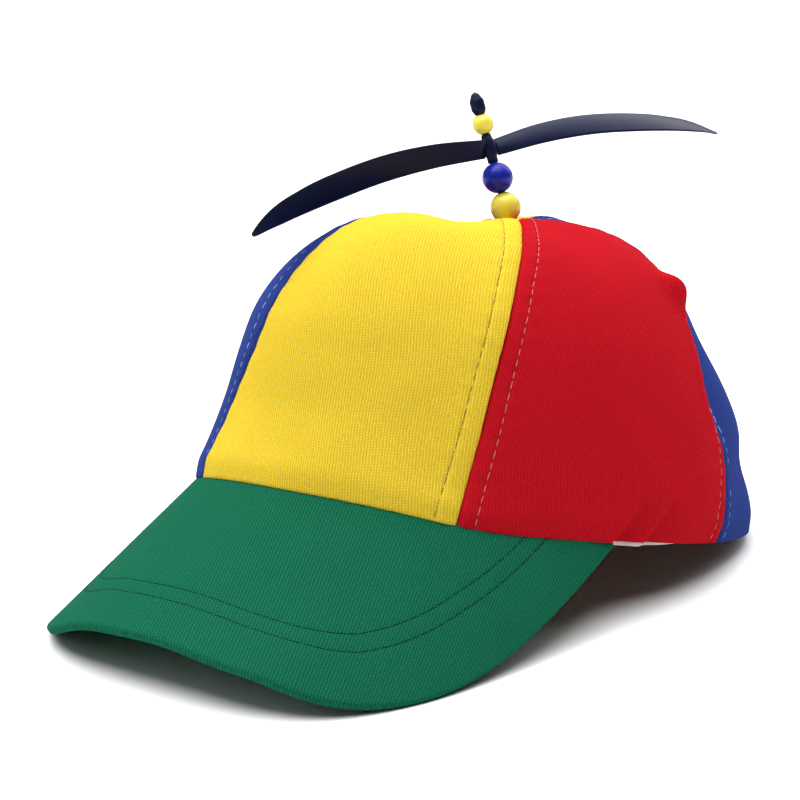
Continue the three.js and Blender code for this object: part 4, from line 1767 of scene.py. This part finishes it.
    def blade(self) -> bmesh.types.BMesh:
        """One blade along +X with its raised edge towards +Y, about the hub's middle."""
        bm, (u, v, w) = two_faced_grid(self.span_steps, self.chord_steps)
        u = 1 - (1 - u) ** self.tip_crowding
        tip = np.clip((u - self.tip_from) / (1 - self.tip_from), 0, 1)
        broad, narrow = BLADE_SECTIONS[-3].chord, BLADE_SECTIONS[-1].chord
        rounded = np.maximum(broad * np.sqrt(1 - tip**2), narrow)
        chord = np.where(tip > 0, rounded, self.along_span("chord", u)) * (v - 0.5)
        pitch = np.radians(self.along_span("pitch", u))
        fullness = 1 - (2 * v - 1) ** 2
        thickness = self.thickness * (self.edge_share + (1 - self.edge_share) * fullness)
        thickness *= 1 - (1 - self.tip_share) * u
        face = (0.5 - w) * thickness + self.camber * fullness * (1 - u)
        x = self.root + (self.radius - self.root) * u
        y = self.along_span("sweep", u) + chord * np.cos(pitch) - face * np.sin(pitch)
        z = self.along_span("rise", u) + chord * np.sin(pitch) + face * np.cos(pitch)
        for vert, point in zip(bm.verts, np.stack([x, y, z], -1)):
            vert.co = point
        bmesh.ops.recalc_face_normals(bm, faces=bm.faces)
        return bm

    @staticmethod
    def along_span(column: str, share: Array) -> Array:
        """Smooth value of one column of the blade's sections at shares of the span."""
        shares = np.array([section.share for section in BLADE_SECTIONS])
        values = np.array([getattr(section, column) for section in BLADE_SECTIONS])
        slopes = np.gradient(values, shares)
        k = np.clip(np.searchsorted(shares, share, side="right") - 1, 0, len(shares) - 2)
        step = shares[k + 1] - shares[k]
        t = (share - shares[k]) / step
        ends = values[k] * (1 + 2 * t) * (1 - t) ** 2 + values[k + 1] * t**2 * (3 - 2 * t)
        return ends + step * t * (1 - t) * (slopes[k] * (1 - t) - slopes[k + 1] * t)

    def propeller(self, material: bpy.types.Material) -> bpy.types.Object:
        """Hub and two blades joined into one moulding.

        Args:
            material: Its plastic.

        Returns:
            The piece.
        """
        half = self.stack.hub_height / 2
        bore = self.stack.bore
        profile = [
            (bore, -half),
            (self.hub_neck, -half),
            (self.hub_neck, -half * 0.62),
            (self.hub_radius, -half * 0.42),
            (self.hub_radius, half * 0.4),
            (self.hub_shoulder, half * 0.56),
            (bore + self.hub_lip, half),
            (bore, half),
        ]
        hub = turned_mesh(profile, self.hub_steps, True)
        self.lay(hub, self.stack.hub_at, self.turn)
        piece = self.finish(hub, "propeller_moulding", material)
        for k in range(2):
            bm = self.blade()
            turned = Matrix.Rotation(math.pi * k, 3, "Z")
            bmesh.ops.rotate(bm, verts=bm.verts, cent=(0, 0, 0), matrix=turned)
            self.lay(bm, self.stack.hub_at, self.turn)
            blade = self.finish(bm, f"blade_{k}", material)
            join = piece.modifiers.new("join", "BOOLEAN")
            join.operation = "UNION"
            join.solver = "EXACT"
            join.object = blade
            graph = bpy.context.evaluated_depsgraph_get()
            joined = bpy.data.meshes.new_from_object(piece.evaluated_get(graph))
            piece.modifiers.clear()
            piece.data = joined
            bpy.data.objects.remove(blade)
        piece.data.shade_smooth()
        return piece

    def build(self) -> None:
        """Make and dress everything on the stem."""
        s = self.stack
        navy = NAVY.make()
        yellow, blue = BEAD_PAINTS[Dye.YELLOW].make(), BEAD_PAINTS[Dye.BLUE].make()
        dress(self.stem(navy), "cap", ["stem"])
        lower = self.bead("lower_bead_turned", s.bead_radius, s.lower_bead_at, yellow)
        dress(lower, "cap", ["lower_bead"])
        middle = self.bead("middle_bead_turned", s.bead_radius, s.middle_bead_at, blue)
        dress(middle, "cap", ["middle_bead"])
        upper = self.bead("upper_bead_turned", s.small_bead_radius, s.upper_bead_at, yellow)
        dress(upper, "cap", ["upper_bead"])
        dress(self.finial(navy), "cap", ["finial"])
        dress(self.propeller(navy), "propeller", ["propeller"])


# Floor, light and camera


@dataclass(frozen=True)
class SoftSun:
    """A wide soft light from far away: where it stands, its spread in degrees and its strength."""

    name: str
    azimuth: float
    elevation: float
    spread: float
    strength: float


def direction(azimuth: float, elevation: float) -> Vector:
    """Direction towards a place round the object, in degrees from the front and from level."""
    turn, rise = math.radians(azimuth), math.radians(elevation)
    level = math.cos(rise)
    return Vector((math.sin(turn) * level, -math.cos(turn) * level, math.sin(rise)))


@dataclass
class Studio:
    """Plain pale floor, soft light and a camera at the photo's angle.

    Attributes:
        place: How the cap lies; the camera's values are in the cap's frame.
        distance: From the camera to the plane of the rim's centre, in millimetres.
        pan: How far the camera stands to the right of and above that centre, in millimetres.
        azimuth, elevation, roll: The camera's angles in degrees.
    """

    place: CapPlace
    distance: float = 800.0
    pan: tuple[float, float] = (-26.165, 30.373)
    azimuth: float = 37.5442
    elevation: float = 7.0227
    roll: float = 4.4675
    lens: float = 108.83
    floor_side: float = 300.0
    floor_colour: Colour = (0.92, 0.92, 0.92)
    sky: float = 0.05
    suns: tuple[SoftSun, ...] = (
        SoftSun("top_light", 0.0, 86.0, 60.0, 2.85),
        SoftSun("back_light", 180.0, 38.0, 60.0, 1.94),
        SoftSun("side_light", 270.0, 62.0, 60.0, 2.1),
        SoftSun("front_light", 315.0, 35.0, 60.0, 0.55),
    )

    def floor(self) -> None:
        """Lay the floor."""
        bm = bmesh.new()
        bmesh.ops.create_grid(bm, x_segments=1, y_segments=1, size=self.floor_side / 2)
        mesh = bpy.data.meshes.new("floor")
        bm.to_mesh(mesh)
        bm.free()
        n = Nodes("pale_floor")
        n.shader.inputs["Base Color"].default_value = (*self.floor_colour, 1.0)
        n.shader.inputs["Roughness"].default_value = 0.9
        n.shader.inputs["Specular IOR Level"].default_value = 0.1
        make_object("floor", mesh, [n.material])

    def light(self) -> None:
        """Hang the lights and set the sky."""
        for sun in self.suns:
            data = bpy.data.lights.new(sun.name, "SUN")
            data.angle = math.radians(sun.spread)
            data.energy = sun.strength
            lamp = bpy.data.objects.new(sun.name, data)
            towards = direction(sun.azimuth, sun.elevation)
            lamp.location = towards * 2
            lamp.rotation_euler = towards.to_track_quat("Z", "Y").to_euler()
            bpy.context.scene.collection.objects.link(lamp)
        world = bpy.data.worlds.new("sky")
        world.use_nodes = True
        background = world.node_tree.nodes["Background"]
        background.inputs["Color"].default_value = (1.0, 1.0, 1.0, 1.0)
        background.inputs["Strength"].default_value = self.sky
        bpy.context.scene.world = world

    def camera(self) -> None:
        """Place the camera."""
        back = direction(self.azimuth, self.elevation)
        level = direction(self.azimuth + 90, 0)
        right = Matrix.Rotation(math.radians(self.roll), 3, back) @ level
        up = back.cross(right)
        turn = Matrix((right, up, back)).transposed().to_4x4()
        stand = right * self.pan[0] + up * self.pan[1] + back * self.distance
        matrix = self.place.matrix @ Matrix.Translation(stand) @ turn
        matrix.translation *= MM
        data = bpy.data.cameras.new("camera")
        data.lens = self.lens
        eye = bpy.data.objects.new("camera", data)
        eye.matrix_world = matrix
        bpy.context.scene.collection.objects.link(eye)
        bpy.context.scene.camera = eye
        bpy.context.scene.view_settings.view_transform = "Standard"

    def build(self) -> None:
        """Make the floor, light and camera."""
        self.camera()
        self.floor()
        self.light()


def main() -> None:
    """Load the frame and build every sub-assembly."""
    logging.basicConfig(level=logging.INFO, format="%(name)s: %(message)s")
    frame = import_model()
    crown = CrownForm()
    stack = Stack(crown.hole_height(), crown.hole_shift)
    place = CapPlace.from_frame(frame["record"]["behaviour"]["joints"][0], stack)
    Studio(place).build()
    Crown(crown, place).build()
    Peak(PeakForm(crown), place).build()
    Sweatband(crown, place).build()
    Mast(stack, place).build()
    LOG.info("sizes written")


if __name__ == "__main__":
    main()
